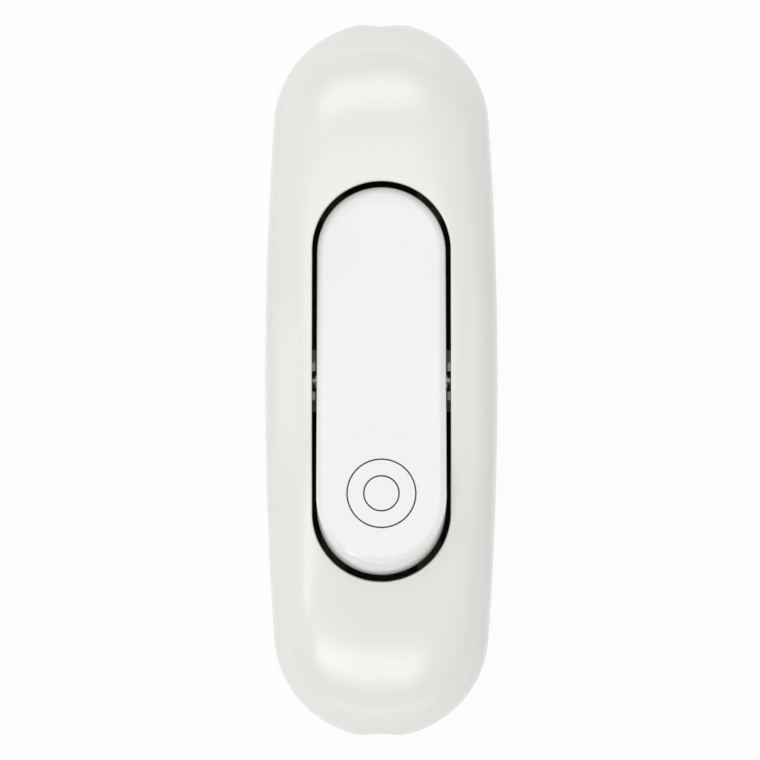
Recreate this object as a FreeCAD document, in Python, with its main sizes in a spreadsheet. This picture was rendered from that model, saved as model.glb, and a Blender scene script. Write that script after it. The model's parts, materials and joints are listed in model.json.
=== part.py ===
import FreeCAD, Part
import Sketcher
import math
import os
import re

# Inline cord switch with a see-saw rocker.
# Millimetres. Z is up, the cord runs along Y, and the ringed end of the rocker is at -Y.
# The origin is the middle of the flat base.

DRIVING_SIZES = [
    ("casing_length", "88", "between the two flat cord faces"),
    ("casing_width", "28.5", "at the middle of the length"),
    ("end_nose", "0.5", "how far the round end would run on past the cord face"),
    ("side_bow", "0.95", "half width less the radius of the round ends"),
    ("base_height", "5.5", "height of the parting line"),
    ("dome_rise", "16.5", "top of the upper casing above the parting line"),
    ("middle_squareness", "5.5", "exponent of the arch across the middle"),
    ("end_squareness", "2.4", "exponent of the arch at the ends"),
    ("wall", "1.8", "wall of both casings"),
    ("base_rounding", "3.2", "radius round the base"),
    ("lip_height", "1.2", "lip of the lower casing inside the upper one"),
    ("lip_gap", "0.1", "play round the lip"),
    ("end_length", "19.8", "from the opening to the cord face"),
    ("opening_width", "16.7", "opening for the rocker"),
    ("opening_rounding", "0.3", "radius round the rim of the opening"),
    ("side_gap", "0.58", "between the rocker and the side of the opening"),
    ("end_gap", "0.65", "between the rocker and the end of the opening, level with its axis"),
    ("rocker_swing", "20", "degrees from one limit to the other"),
    ("pivot_depth", "6.6", "rocker axis below the top of the casing"),
    ("rocker_crown", "5.9", "top face of the rocker above its axis"),
    ("rocker_skirt", "5.4", "lower edge of the rocker below its axis"),
    ("rocker_wall", "1.5", "side wall of the rocker"),
    ("rocker_roof", "1.6", "top wall of the rocker"),
    ("rocker_rounding", "0.5", "radius round the top face"),
    ("ring_offset", "8.3", "centre of the ring mark from the end of the rocker"),
    ("ring_large", "8.2", "diameter of the outer ring"),
    ("ring_small", "4.2", "diameter of the inner ring"),
    ("ring_line", "0.18", "width of the ring grooves"),
    ("ring_depth", "0.15", "depth of the ring grooves"),
    ("pin_diameter", "2.4", "pivot pins of the rocker"),
    ("pin_seat", "2.5", "length of pin held in the rocker"),
    ("pin_boss", "5.2", "diameter of the boss round each pin"),
    ("running_fit", "0.05", "radial play of everything that turns or slides"),
    ("still_fit", "0.02", "radial play of everything that is pushed in"),
    ("cheek_gap", "0.2", "between the rocker and the cheeks of its cradle"),
    ("cheek_thickness", "1.8", "cheeks of the cradle"),
    ("cheek_top_width", "4.5", "cheek at the pin"),
    ("cheek_foot_width", "7.6", "cheek below its step"),
    ("cheek_step", "3.0", "step of the cheek below the axis"),
    ("cheek_headroom", "1.6", "cheek below the roof of the casing"),
    ("cradle_plate", "1.2", "thickness of the cradle's plate"),
    ("cradle_length", "24", "length of the cradle's plate"),
    ("cradle_width", "15.6", "width of the cradle's plate past its cheeks"),
    ("keeper_width", "2.0", "rib of the casing above each pin"),
    ("peg_diameter", "2.0", "pegs that place the cradle"),
    ("peg_spacing", "9.2", "between the two pegs"),
    ("hub_diameter", "6.2", "hub under the rocker"),
    ("hub_length", "2.2", "hub below the axis"),
    ("plunger_diameter", "4.0", "plunger in the hub"),
    ("plunger_head", "0.8", "top of the plunger below the axis"),
    ("plunger_nose", "3.2", "diameter of the plunger's round tip"),
    ("plunger_play", "0.05", "tip above the contact bridge at mid swing"),
    ("spring_room", "3.7", "length of the plunger's spring"),
    ("spring_diameter", "3.3", "outside of the spring"),
    ("spring_wire", "0.4", "wire of the spring"),
    ("spring_turns", "3.5", "turns of the spring"),
    ("strip_thickness", "0.8", "brass strips"),
    ("strip_width", "3.0", "brass strips"),
    ("strip_offset", "6.0", "long strips from the centre line"),
    ("bridge_swing", "16", "degrees that the contact bridge turns"),
    ("bridge_length", "21", "contact bridge"),
    ("bridge_width", "5.0", "contact bridge"),
    ("bridge_thickness", "1.0", "contact bridge"),
    ("bridge_drop", "0.9", "underside of the bridge above its axis"),
    ("knuckle_diameter", "2.8", "knuckle of the bridge"),
    ("fulcrum_lift", "2.3", "axis of the bridge above the strip"),
    ("fulcrum_diameter", "1.2", "pin that the bridge turns on"),
    ("fulcrum_width", "4.0", "upright ears that hold that pin"),
    ("ear_play", "0.15", "between the bridge and each ear"),
    ("contact_offset", "9.0", "contacts from the axis of the bridge"),
    ("contact_diameter", "2.6", "both contacts"),
    ("contact_height", "0.6", "moving contact"),
    ("contact_gap", "0.05", "between the closed contacts, and over the stop"),
    ("block_offset", "4.8", "middle of the terminal blocks from the opening"),
    ("block_width", "5.4", "terminal block across the casing"),
    ("block_length", "5.6", "terminal block along the casing"),
    ("block_height", "7.2", "terminal block"),
    ("window_height", "3.6", "window of the terminal block"),
    ("window_play", "0.1", "window wider than the strip, each side"),
    ("pocket_play", "0.15", "ribs round each terminal block"),
    ("pocket_wall", "0.9", "ribs round each terminal block"),
    ("strip_tail", "0.3", "strip past its terminal block"),
    ("terminal_screw", "2.5", "diameter"),
    ("terminal_head", "3.8", "diameter"),
    ("terminal_head_height", "1.4", "head of a terminal screw"),
    ("terminal_bite", "4.0", "terminal screw below its head"),
    ("cord_hole", "6.0", "cord entry"),
    ("collar_wall", "1.7", "collar round the cord entry"),
    ("collar_length", "4.5", "collar round the cord entry"),
    ("clamp_clear", "0.7", "between the terminal block and the cord clamp"),
    ("clamp_span", "11.8", "between the two screws of a cord clamp"),
    ("clamp_width", "4.6", "cord clamp along the casing"),
    ("clamp_thickness", "2.6", "cord clamp"),
    ("clamp_seat", "1.9", "underside of the cord clamp above the parting line"),
    ("clamp_arch", "5.6", "diameter of the arch over the cord"),
    ("post_diameter", "4.2", "posts under the cord clamp"),
    ("clamp_screw", "2.2", "diameter"),
    ("clamp_head", "3.8", "diameter"),
    ("clamp_head_height", "1.1", "head of a clamp screw"),
    ("clamp_bite", "4.4", "clamp screw below the clamp"),
    ("casing_screw", "2.8", "diameter"),
    ("casing_screw_play", "0.15", "radial, in the lower casing"),
    ("casing_head", "4.6", "diameter"),
    ("casing_head_height", "1.2", "head of a casing screw"),
    ("casing_head_sink", "0.3", "head above the plane of the base"),
    ("head_play", "0.1", "radial, round the head of a casing screw"),
    ("boss_diameter", "5.8", "bosses for the casing screws"),
    ("insert_diameter", "4.2", "threaded insert"),
    ("insert_length", "5.0", "threaded insert"),
    ("insert_inset", "0.2", "insert above the parting line"),
    ("insert_room", "1.0", "blind hole past the insert"),
    ("screw_slot", "0.6", "width of the screwdriver slots"),
    ("slot_depth", "0.5", "depth of the screwdriver slots"),
    ("stop_width", "5.0", "stops under the ends of the rocker"),
    ("stop_thickness", "2.0", "stops under the ends of the rocker"),
    ("stop_gap", "0.08", "stop below the rocker at its limit"),
]

WORKED_OUT = [
    ("half_length", "casing_length / 2"),
    ("half_width", "casing_width / 2"),
    ("end_radius", "half_width - side_bow"),
    ("end_centre", "half_length + end_nose - end_radius"),
    ("casing_top", "base_height + dome_rise"),
    ("opening_length", "casing_length - 2 * end_length"),
    ("rocker_width", "opening_width - 2 * side_gap"),
    ("rocker_reach", "opening_length / 2 - end_gap"),
    ("rocker_length", "2 * sqrt(rocker_reach^2 - rocker_crown^2)"),
    ("rocker_foot", "sqrt(rocker_reach^2 - rocker_skirt^2)"),
    ("rest_tilt", "rocker_swing / 2"),
    ("pivot_height", "casing_top - pivot_depth"),
    ("cheek_inside", "rocker_width / 2 + cheek_gap"),
    ("cheek_outside", "cheek_inside + cheek_thickness"),
    ("cheek_top", "casing_top - wall - cheek_headroom"),
    ("strip_level", "wall + cradle_plate"),
    ("strip_top", "strip_level + strip_thickness"),
    ("fulcrum_height", "strip_top + fulcrum_lift"),
    ("bridge_tilt", "bridge_swing / 2"),
    ("bridge_top", "fulcrum_height + bridge_drop + bridge_thickness"),
    ("plunger_reach", "pivot_height - bridge_top - plunger_play"),
    ("contact_meeting", "fulcrum_height - contact_offset * sin(bridge_tilt)"
     " - contact_diameter / 2 * sin(bridge_tilt)"
     " + (bridge_drop - contact_height) * cos(bridge_tilt) - contact_gap"),
    ("stop_meeting", "fulcrum_height - contact_offset * sin(bridge_tilt)"
     " - contact_diameter / 2 * sin(bridge_tilt) + bridge_drop * cos(bridge_tilt) - contact_gap"),
    ("skirt_low", "pivot_height - rocker_foot * sin(rest_tilt) - rocker_skirt * cos(rest_tilt)"),
    ("skirt_low_place", "rocker_foot * cos(rest_tilt) - rocker_skirt * sin(rest_tilt)"),
    ("block_place", "opening_length / 2 + block_offset"),
    ("block_top", "wall + block_height"),
    ("strip_end", "block_place + block_length / 2 + strip_tail"),
    ("clamp_place", "block_place + block_length / 2 + clamp_clear + clamp_width / 2"),
    ("clamp_level", "base_height + clamp_seat"),
    ("boss_place", "block_place"),
]

ENDS = (("front", -1), ("rear", 1))
SIDES = (("left", -1), ("right", 1))
ALONG_X = FreeCAD.Rotation(FreeCAD.Vector(0, 1, 0), 90)
ALONG_Y = FreeCAD.Rotation(FreeCAD.Vector(1, 0, 0), -90)
UPRIGHT = FreeCAD.Rotation()

doc = FreeCAD.newDocument("inline_rocker_switch")
nodes = []


# Spreadsheets

def qualified(formula):
    """Put the sheet's name before each size that a formula names."""
    driving = {row[0] for row in DRIVING_SIZES}
    worked = {row[0] for row in WORKED_OUT}

    def owner(match):
        word = match.group(0)
        if word in driving:
            return "sizes." + word
        if word in worked:
            return "worked." + word
        return word

    return re.sub(r"[a-z_]+", owner, formula)


def fill_sheet(name, rows):
    sheet = doc.addObject("Spreadsheet::Sheet", name)
    for number, (alias, content, note) in enumerate(rows, 1):
        sheet.set(f"A{number}", alias)
        sheet.set(f"B{number}", content)
        sheet.set(f"C{number}", note)
        sheet.setAlias(f"B{number}", alias)
    doc.recompute()
    return sheet


sizes = fill_sheet("sizes", DRIVING_SIZES)
worked = fill_sheet("worked", [
    (alias, "=" + qualified(formula).replace("worked.", ""), "worked out")
    for alias, formula in WORKED_OUT
])


def size(alias):
    """Value of one size, for the shapes that are made of points."""
    driving = {row[0] for row in DRIVING_SIZES}
    return float(sizes.get(alias) if alias in driving else worked.get(alias))


# Small makers of document objects

def bind(feature, path, formula):
    feature.setExpression(path, qualified(formula))


def put(feature, place, turn=UPRIGHT):
    feature.Placement = FreeCAD.Placement(FreeCAD.Vector(), turn)
    for axis, formula in zip("xyz", place):
        bind(feature, f"Placement.Base.{axis}", formula)


def box(name, lengths, low_corner):
    feature = doc.addObject("Part::Box", name)
    for path, formula in zip(("Length", "Width", "Height"), lengths):
        bind(feature, path, formula)
    put(feature, low_corner)
    return feature


def centred_box(name, lengths, middle_x, middle_y, low_z):
    """Box given by the middle of its plan and the level of its underside."""
    low_x = f"({middle_x}) - ({lengths[0]}) / 2"
    low_y = f"({middle_y}) - ({lengths[1]}) / 2"
    return box(name, lengths, (low_x, low_y, low_z))


def rod(name, diameter, length, start, turn=UPRIGHT):
    """Cylinder from the middle of its first end."""
    feature = doc.addObject("Part::Cylinder", name)
    bind(feature, "Radius", f"({diameter}) / 2")
    bind(feature, "Height", length)
    put(feature, start, turn)
    return feature


def ball(name, diameter, middle):
    feature = doc.addObject("Part::Sphere", name)
    bind(feature, "Radius", f"({diameter}) / 2")
    put(feature, middle)
    return feature


def joined(name, features):
    feature = doc.addObject("Part::MultiFuse", name)
    feature.Shapes = features
    feature.Refine = True
    return feature


def less(name, base, tool):
    feature = doc.addObject("Part::Cut", name)
    feature.Base = base
    feature.Tool = tool
    return feature


def shared(name, base, tool):
    feature = doc.addObject("Part::Common", name)
    feature.Base = base
    feature.Tool = tool
    return feature


def group(name, features):
    feature = doc.addObject("Part::Compound", name)
    feature.Links = features
    return feature


def made(name, shape):
    """Object of a shape that is made of points or curves."""
    feature = doc.addObject("Part::Feature", name)
    feature.Shape = shape
    return feature


def node(label, feature):
    """Name a finished sub-part and list it for writing."""
    feature.Label = label
    nodes.append(feature)
    return feature


def rock(feature, height, tilt):
    """Turn a sub-part, made about the X axis, and lift it to its own axis."""
    lift = f"vector(0; 0; {height})"
    turn = f"rotation(vector(1; 0; 0); {tilt})"
    bind(feature, "Placement", f"placement({lift}; {turn})")


# Outline of the casing

def outline_half_width(along, inset=0.0):
    """Half width of the outline at a distance along it: a long side arc, then a round end."""
    along = abs(along)
    half_width = size("half_width")
    end_radius = size("end_radius")
    end_centre = size("end_centre")
    side_radius = (end_centre**2 + half_width**2 - end_radius**2) / (2 * size("side_bow"))
    meeting = end_centre * (side_radius - inset) / (side_radius - end_radius)
    if along < meeting:
        return half_width - side_radius + math.sqrt((side_radius - inset)**2 - along**2)
    return math.sqrt(max((end_radius - inset)**2 - (along - end_centre)**2, 0.0))


def outline_face(inset, level):
    """Flat face inside the outline, moved in by an inset: four end arcs, two sides, two cord faces."""
    half_width = size("half_width")
    end_radius = size("end_radius")
    end_centre = size("end_centre")
    side_radius = (end_centre**2 + half_width**2 - end_radius**2) / (2 * size("side_bow"))
    flat = size("half_length") - inset
    meeting_y = end_centre * (side_radius - inset) / (side_radius - end_radius)
    meeting_x = outline_half_width(meeting_y, inset)
    corner_x = outline_half_width(flat, inset)
    middle_angle = (math.atan2(meeting_y - end_centre, meeting_x)
                    + math.atan2(flat - end_centre, corner_x)) / 2
    arc_x = (end_radius - inset) * math.cos(middle_angle)
    arc_y = end_centre + (end_radius - inset) * math.sin(middle_angle)

    def point(across, along):
        return FreeCAD.Vector(across, along, level)

    edges = []
    for side in (1, -1):
        edges.append(Part.Arc(point(side * meeting_x, -side * meeting_y),
                              point(side * (half_width - inset), 0),
                              point(side * meeting_x, side * meeting_y)).toShape())
        edges.append(Part.Arc(point(side * meeting_x, side * meeting_y),
                              point(side * arc_x, side * arc_y),
                              point(side * corner_x, side * flat)).toShape())
        edges.append(Part.makeLine(point(side * corner_x, side * flat),
                                   point(-side * corner_x, side * flat)))
        edges.append(Part.Arc(point(-side * corner_x, side * flat),
                              point(-side * arc_x, side * arc_y),
                              point(-side * meeting_x, side * meeting_y)).toShape())
    return Part.Face(Part.Wire(edges))


def outline_block(inset, low, high, rounding=0.0):
    """The outline's face raised to a block, with its lower edge rounded."""
    block = outline_face(inset, low).extrude(FreeCAD.Vector(0, 0, high - low))
    if rounding:
        lowest = [edge for edge in block.Edges if edge.BoundBox.ZMax < low + 0.001]
        block = block.makeFillet(rounding, lowest)
    return block


def dome_solid(inset):
    """Dome over the outline, moved in by an inset.

    Its crest follows an ellipse, and each arch across it is a superellipse, square at the
    middle of the length and rounder towards the ends.
    """
    station_count = 18
    point_count = 32
    base_height = size("base_height")
    reach = size("half_length") + size("end_nose") - inset
    cap = size("half_length") - inset
    widest_turn = math.asin(cap / reach)
    rows = []
    for station in range(-station_count, station_count + 1):
        along = reach * math.sin(widest_turn * station / station_count)
        share = (along / reach)**2
        half_width = outline_half_width(along, inset)
        height = crest_height(along, inset) - base_height
        power = size("middle_squareness") + (size("end_squareness") - size("middle_squareness")) * share
        row = []
        for step in range(point_count + 1):
            angle = math.pi * step / point_count
            across = math.cos(angle)
            up = max(math.sin(angle), 0.0) if 0 < step < point_count else 0.0
            spread = (abs(across)**power + up**power)**(-1 / power)
            row.append(FreeCAD.Vector(half_width * across * spread, along,
                                      base_height + height * up * spread))
        rows.append(row)
    skin = Part.BSplineSurface()
    skin.interpolate(rows)
    crown = skin.toShape()
    faces = [crown]
    rim = []
    for edge in crown.Edges:
        middle = edge.valueAt((edge.FirstParameter + edge.LastParameter) / 2)
        if abs(middle.y) < cap - 0.001:
            rim.append(edge)
            continue
        sill = Part.makeLine(edge.Vertexes[0].Point, edge.Vertexes[-1].Point)
        faces.append(Part.Face(Part.Wire(Part.__sortEdges__([edge, sill]))))
        rim.append(sill)
    faces.append(Part.Face(Part.Wire(Part.__sortEdges__(rim))))
    shell = Part.makeShell(faces)
    shell.sewShape()
    solid = Part.makeSolid(shell)
    if solid.Volume < 0:
        solid.reverse()
    return solid


# Shapes that both casings need

def cord_bores(name):
    bores = []
    for end, way in ENDS:
        start = "-half_length - wall" if way < 0 else "half_length - collar_length - wall"
        bores.append(rod(f"{name}_{end}", "cord_hole", "collar_length + 2 * wall",
                         ("0", start, "base_height"), ALONG_Y))
    return bores


def cord_collars(name):
    collars = []
    for end, way in ENDS:
        start = "-half_length" if way < 0 else "half_length - collar_length"
        collars.append(rod(f"{name}_{end}", "cord_hole + 2 * collar_wall", "collar_length",
                           ("0", start, "base_height"), ALONG_Y))
    return collars


# Casings

def upper_casing():
    dome = made("upper_outside", dome_solid(0.0))
    hollow = made("upper_inside", dome_solid(size("wall")))
    shell = less("upper_shell", dome, hollow)
    ribs = cord_collars("upper_collar")
    for end, way in ENDS:
        ribs.append(rod(f"upper_boss_{end}", "boss_diameter", "dome_rise",
                        ("0", f"{way} * boss_place", "base_height")))
    for side, way in SIDES:
        low_x = "opening_width / 2 + still_fit" if way > 0 else "-cheek_outside"
        ribs.append(box(f"pin_keeper_{side}",
                        ("cheek_outside - opening_width / 2 - still_fit", "keeper_width", "pivot_depth"),
                        (low_x, "-keeper_width / 2", "pivot_height + pin_diameter / 2 + running_fit")))
    inner = shared("upper_ribs", joined("upper_ribs_uncut", ribs), made("upper_limit", dome_solid(0.0)))
    body = joined("upper_body", [shell, inner])
    tools = cord_bores("upper_bore")
    tools.append(opening_block())
    tools.append(made("upper_rebate", lip_ring(size("lip_gap"))))
    for end, way in ENDS:
        tools.append(rod(f"insert_hole_{end}", "insert_diameter + 2 * still_fit",
                         "insert_inset + insert_length + insert_room",
                         ("0", f"{way} * boss_place", "base_height")))
    cut = less("upper_cut", body, joined("upper_tools", tools))
    doc.recompute()
    radius = size("opening_rounding")
    rounded = doc.addObject("Part::Fillet", "upper_rounded")
    rounded.Base = cut
    rounded.Edges = [(number, radius, radius) for number, edge in enumerate(cut.Shape.Edges, 1)
                     if on_opening_rim(edge)]
    return node("upper_casing", rounded)


def on_opening_rim(edge):
    """Whether an edge lies on the wall of the opening, where it meets the outside of the dome."""
    middle = edge.valueAt((edge.FirstParameter + edge.LastParameter) / 2)
    round_middle = (size("opening_length") - size("opening_width")) / 2
    past = max(abs(middle.y) - round_middle, 0.0)
    on_wall = abs(math.hypot(middle.x, past) - size("opening_width") / 2) < size("still_fit")
    return on_wall and middle.z > crest_height(middle.y, 0.0) - size("wall") / 2


def crest_height(along, inset):
    """Level of the dome's crest, an ellipse along the casing."""
    reach = size("half_length") + size("end_nose") - inset
    return size("base_height") + (size("dome_rise") - inset) * math.sqrt(1 - (along / reach)**2)


def opening_block():
    """Round-ended block that cuts the opening for the rocker."""
    round_middle = "(opening_length - opening_width) / 2"
    pieces = [centred_box("opening_middle", ("opening_width", "opening_length - opening_width", "dome_rise"),
                          "0", "0", "base_height + lip_height + wall")]
    for end, way in ENDS:
        pieces.append(rod(f"opening_{end}", "opening_width", "dome_rise",
                          ("0", f"{way} * {round_middle}", "base_height + lip_height + wall")))
    return joined("opening_block", pieces)


def lip_ring(play):
    """Ring that the lower casing's lip fills, widened by a play for the rebate of the upper one."""
    low = size("base_height")
    high = low + size("lip_height") + play
    outside = outline_block(size("wall") / 2 - play / 2, low, high)
    inside = outline_block(size("wall") + play / 2, low, high)
    return outside.cut(inside)


def lower_casing():
    outside = made("lower_outside", outline_block(0.0, 0.0, size("base_height"), size("base_rounding")))
    inner_rounding = max(size("base_rounding") - size("wall"), size("lip_gap"))
    inside = made("lower_inside",
                  outline_block(size("wall"), size("wall"), size("base_height"), inner_rounding))
    shell = less("lower_shell", outside, inside)
    collars = shared("lower_collars", joined("lower_collars_uncut", cord_collars("lower_collar")),
                     made("lower_limit", outline_block(0.0, 0.0, size("base_height"), size("base_rounding"))))
    pieces = [shell, collars, made("lower_lip", lip_ring(0.0))]
    tools = cord_bores("lower_bore")
    for end, way in ENDS:
        pieces.append(rod(f"lower_boss_{end}", "boss_diameter", "base_height - wall / 2",
                          ("0", f"{way} * boss_place", "wall / 2")))
        tools.append(rod(f"screw_hole_{end}", "casing_screw + 2 * casing_screw_play", "base_height * 2",
                         ("0", f"{way} * boss_place", "-wall")))
        tools.append(rod(f"head_hole_{end}", "casing_head + 2 * head_play",
                         "casing_head_height + casing_head_sink + wall",
                         ("0", f"{way} * boss_place", "-wall")))
        pieces.append(centred_box(f"rocker_stop_{end}",
                                  ("stop_width", "stop_thickness", "skirt_low - stop_gap - wall / 2"),
                                  "0", f"{way} * skirt_low_place", "wall / 2"))
        pieces.append(rod(f"peg_{end}", "peg_diameter", "wall / 2 + cradle_plate - running_fit",
                          ("0", f"{way} * peg_spacing / 2", "wall / 2")))
        for side, hand in SIDES:
            place_x = f"{hand} * strip_offset"
            place_y = f"{way} * block_place"
            around = "2 * (pocket_play + pocket_wall)"
            pieces.append(centred_box(f"pocket_{side}_{end}",
                                      (f"block_width + {around}", f"block_length + {around}",
                                       "wall / 2 + cradle_plate"),
                                      place_x, place_y, "wall / 2"))
            tools.append(centred_box(f"pocket_room_{side}_{end}",
                                     ("block_width + 2 * pocket_play", "block_length + 2 * pocket_play",
                                      "block_height"),
                                     place_x, place_y, "wall"))
            post_x = f"{hand} * clamp_span / 2"
            post_y = f"{way} * clamp_place"
            pieces.append(rod(f"clamp_post_{side}_{end}", "post_diameter", "clamp_level - wall / 2",
                              (post_x, post_y, "wall / 2")))
            tools.append(rod(f"clamp_hole_{side}_{end}", "clamp_screw + 2 * still_fit",
                             "clamp_bite + 2 * still_fit + clamp_thickness",
                             (post_x, post_y, "clamp_level - clamp_bite - 2 * still_fit")))
    body = joined("lower_body", pieces)
    return node("lower_casing", less("lower_cut", body, joined("lower_tools", tools)))


# Rocker and what rides in it

def origin_plane(body, role):
    return next(plane for plane in body.Origin.OriginFeatures if plane.Role == role)


def rocker_wheel(name, inset):
    """Round-ended plan turned right round the rocker's axis, moved in by an inset."""
    half = size("rocker_width") / 2 - inset
    middle = size("rocker_reach") - size("rocker_width") / 2
    corners = [FreeCAD.Vector(across, along, 0)
               for across, along in ((-half, 0), (-half, middle), (half, middle), (half, 0))]
    tip = FreeCAD.Vector(0, middle + half, 0)
    profile = Part.Face(Part.Wire([Part.makeLine(corners[0], corners[1]),
                                   Part.Arc(corners[1], tip, corners[2]).toShape(),
                                   Part.makeLine(corners[2], corners[3]),
                                   Part.makeLine(corners[3], corners[0])]))
    return made(name, profile.revolve(FreeCAD.Vector(), FreeCAD.Vector(1, 0, 0), 360))


def rocker_shell():
    """Cap rounded on top and hollow below, about its own axis, which its ends keep their distance from."""
    depth = "rocker_skirt + rocker_crown"
    slab = centred_box("rocker_slab", ("2 * rocker_width", "3 * rocker_reach", depth),
                       "0", "0", "-rocker_skirt")
    outside = shared("rocker_outside", rocker_wheel("rocker_wheel", 0.0), slab)
    doc.recompute()
    top = size("rocker_crown")
    radius = size("rocker_rounding")
    rounded = doc.addObject("Part::Fillet", "rocker_rounded")
    rounded.Base = outside
    rounded.Edges = [(number, radius, radius) for number, edge in enumerate(outside.Shape.Edges, 1)
                     if edge.BoundBox.ZMin > top - 0.001]
    room = centred_box("hollow_slab", ("2 * rocker_width", "3 * rocker_reach",
                                       f"{depth} - rocker_roof + rocker_wall"),
                       "0", "0", "-rocker_skirt - rocker_wall")
    hollow = shared("rocker_hollow", rocker_wheel("hollow_wheel", size("rocker_wall")), room)
    return less("rocker_shell", rounded, hollow)


def ring_groove(name, diameter):
    place = ("0", "ring_offset - rocker_length / 2", "rocker_crown - ring_depth")
    return less(name,
                rod(f"{name}_outside", f"{diameter} + ring_line", "2 * ring_depth", place),
                rod(f"{name}_inside", f"{diameter} - ring_line", "2 * ring_depth", place))


def rocker_button():
    pieces = [rocker_shell()]
    pieces.append(rod("hub", "hub_diameter", "hub_length + rocker_crown - rocker_roof / 2",
                      ("0", "0", "-hub_length")))
    tools = [rod("hub_bore", "plunger_diameter + 2 * running_fit",
                 "hub_length - plunger_head + spring_room + 2 * running_fit",
                 ("0", "0", "-hub_length - running_fit"))]
    for side, way in SIDES:
        start = "rocker_width / 2 - pin_seat" if way > 0 else "-rocker_width / 2 + rocker_wall / 2"
        pieces.append(rod(f"pin_boss_{side}", "pin_boss", "pin_seat - rocker_wall / 2",
                          (start, "0", "0"), ALONG_X))
        hole = "rocker_width / 2 - pin_seat - still_fit" if way > 0 else "-rocker_width / 2 - still_fit"
        tools.append(rod(f"pin_hole_{side}", "pin_diameter + 2 * still_fit", "pin_seat + 2 * still_fit",
                         (hole, "0", "0"), ALONG_X))
    tools.append(ring_groove("ring_outer", "ring_large"))
    tools.append(ring_groove("ring_inner", "ring_small"))
    rocker = less("rocker_cut", joined("rocker_solid", pieces), joined("rocker_tools", tools))
    rock(rocker, "pivot_height", "-rest_tilt")
    node("rocker_button", rocker)


def pivot_pins():
    length = "pin_seat + cheek_gap + cheek_thickness - running_fit"
    for side, way in SIDES:
        start = "rocker_width / 2 - pin_seat" if way > 0 else f"-rocker_width / 2 + pin_seat - ({length})"
        node(f"pivot_pin_{side}", rod(f"pin_{side}", "pin_diameter", length,
                                      (start, "0", "pivot_height"), ALONG_X))


def plunger():
    shoulder = "-plunger_reach + plunger_nose / 2"
    stem = rod("plunger_stem", "plunger_diameter", f"-plunger_head - ({shoulder})", ("0", "0", shoulder))
    nose = ball("plunger_tip", "plunger_nose", ("0", "0", shoulder))
    whole = joined("plunger_whole", [stem, nose])
    rock(whole, "pivot_height", "-rest_tilt")
    node("plunger", whole)


def tangent_arc(start, corner, end):
    """Arc from start to end whose end tangents meet at the corner."""
    middle = (start + end) * 0.5
    half_chord = (end - start).Length / 2
    rise = (corner - middle).Length
    bulge = half_chord * math.tan(math.atan2(rise, half_chord) / 2)
    crest = middle + (corner - middle) * (bulge / rise)
    return Part.Arc(start, crest, end).toShape()


def helix_edges(radius, pitch, turns, low):
    """Helix about Z as pairs of tangent arcs, one pair for each quarter turn."""
    steps = round(turns * 4)

    def place(step):
        angle = step * math.pi / 2
        return FreeCAD.Vector(radius * math.cos(angle), radius * math.sin(angle), low + pitch * step / 4)

    def heading(step):
        angle = step * math.pi / 2
        way = FreeCAD.Vector(-radius * math.sin(angle), radius * math.cos(angle), pitch / (2 * math.pi))
        return way.normalize()

    edges = []
    for step in range(steps):
        start, end = place(step), place(step + 1)
        leave, arrive = heading(step), heading(step + 1)
        across = end - start
        both = leave + arrive
        spread = 2 * (1 - leave.dot(arrive))
        reach = (math.sqrt(across.dot(both)**2 + spread * across.dot(across)) - across.dot(both)) / spread
        first_corner = start + leave * reach
        last_corner = end - arrive * reach
        meeting = (first_corner + last_corner) * 0.5
        edges.append(tangent_arc(start, first_corner, meeting))
        edges.append(tangent_arc(meeting, last_corner, end))
    return edges, place(0), heading(0)


def plunger_spring():
    wire = size("spring_wire")
    turns = size("spring_turns")
    low = -size("plunger_head") + wire / 2 + size("still_fit")
    rise = size("spring_room") - wire - 2 * size("still_fit")
    pitch = rise / turns
    print("spring: gap between turns", round(pitch - wire, 3), "mm")
    edges, start, heading = helix_edges((size("spring_diameter") - wire) / 2, pitch, turns, low)
    circle = Part.Wire(Part.Circle(start, heading, wire / 2).toShape())
    coil = Part.Wire(edges).makePipeShell([circle], True, False)
    spring = made("spring", coil)
    rock(spring, "pivot_height", "-rest_tilt")
    node("plunger_spring", spring)


# Cradle of the rocker

def rocker_cradle():
    pieces = [centred_box("cradle_floor", ("cradle_width", "cradle_length", "cradle_plate"),
                          "0", "0", "wall")]
    pieces.append(centred_box("cradle_cross", ("2 * cheek_outside", "cheek_foot_width", "cradle_plate"),
                              "0", "0", "wall"))
    pieces.append(rod("bridge_stop", "contact_diameter", "stop_meeting - strip_level + cradle_plate / 2",
                      ("0", "contact_offset", "strip_level - cradle_plate / 2")))
    tools = [rod(f"peg_hole_{end}", "peg_diameter + 2 * running_fit", "3 * cradle_plate",
                 ("0", f"{way} * peg_spacing / 2", "wall - cradle_plate")) for end, way in ENDS]
    tools.append(rod("pin_way", "pin_diameter + 2 * running_fit", "4 * cheek_outside",
                     ("-2 * cheek_outside", "0", "pivot_height"), ALONG_X))
    tools.append(centred_box("pin_slot",
                             ("4 * cheek_outside", "pin_diameter + 2 * running_fit", "pivot_depth"),
                             "0", "0", "pivot_height"))
    for side, way in SIDES:
        middle = f"{way} * (cheek_inside + cheek_outside) / 2"
        pieces.append(centred_box(f"cheek_foot_{side}",
                                  ("cheek_thickness", "cheek_foot_width",
                                   "pivot_height - cheek_step - wall"),
                                  middle, "0", "wall"))
        pieces.append(centred_box(f"cheek_{side}",
                                  ("cheek_thickness", "cheek_top_width", "cheek_top - wall"),
                                  middle, "0", "wall"))
    node("rocker_cradle", less("cradle_cut", joined("cradle_body", pieces), joined("cradle_tools", tools)))


# Contact bridge and its pin

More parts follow.
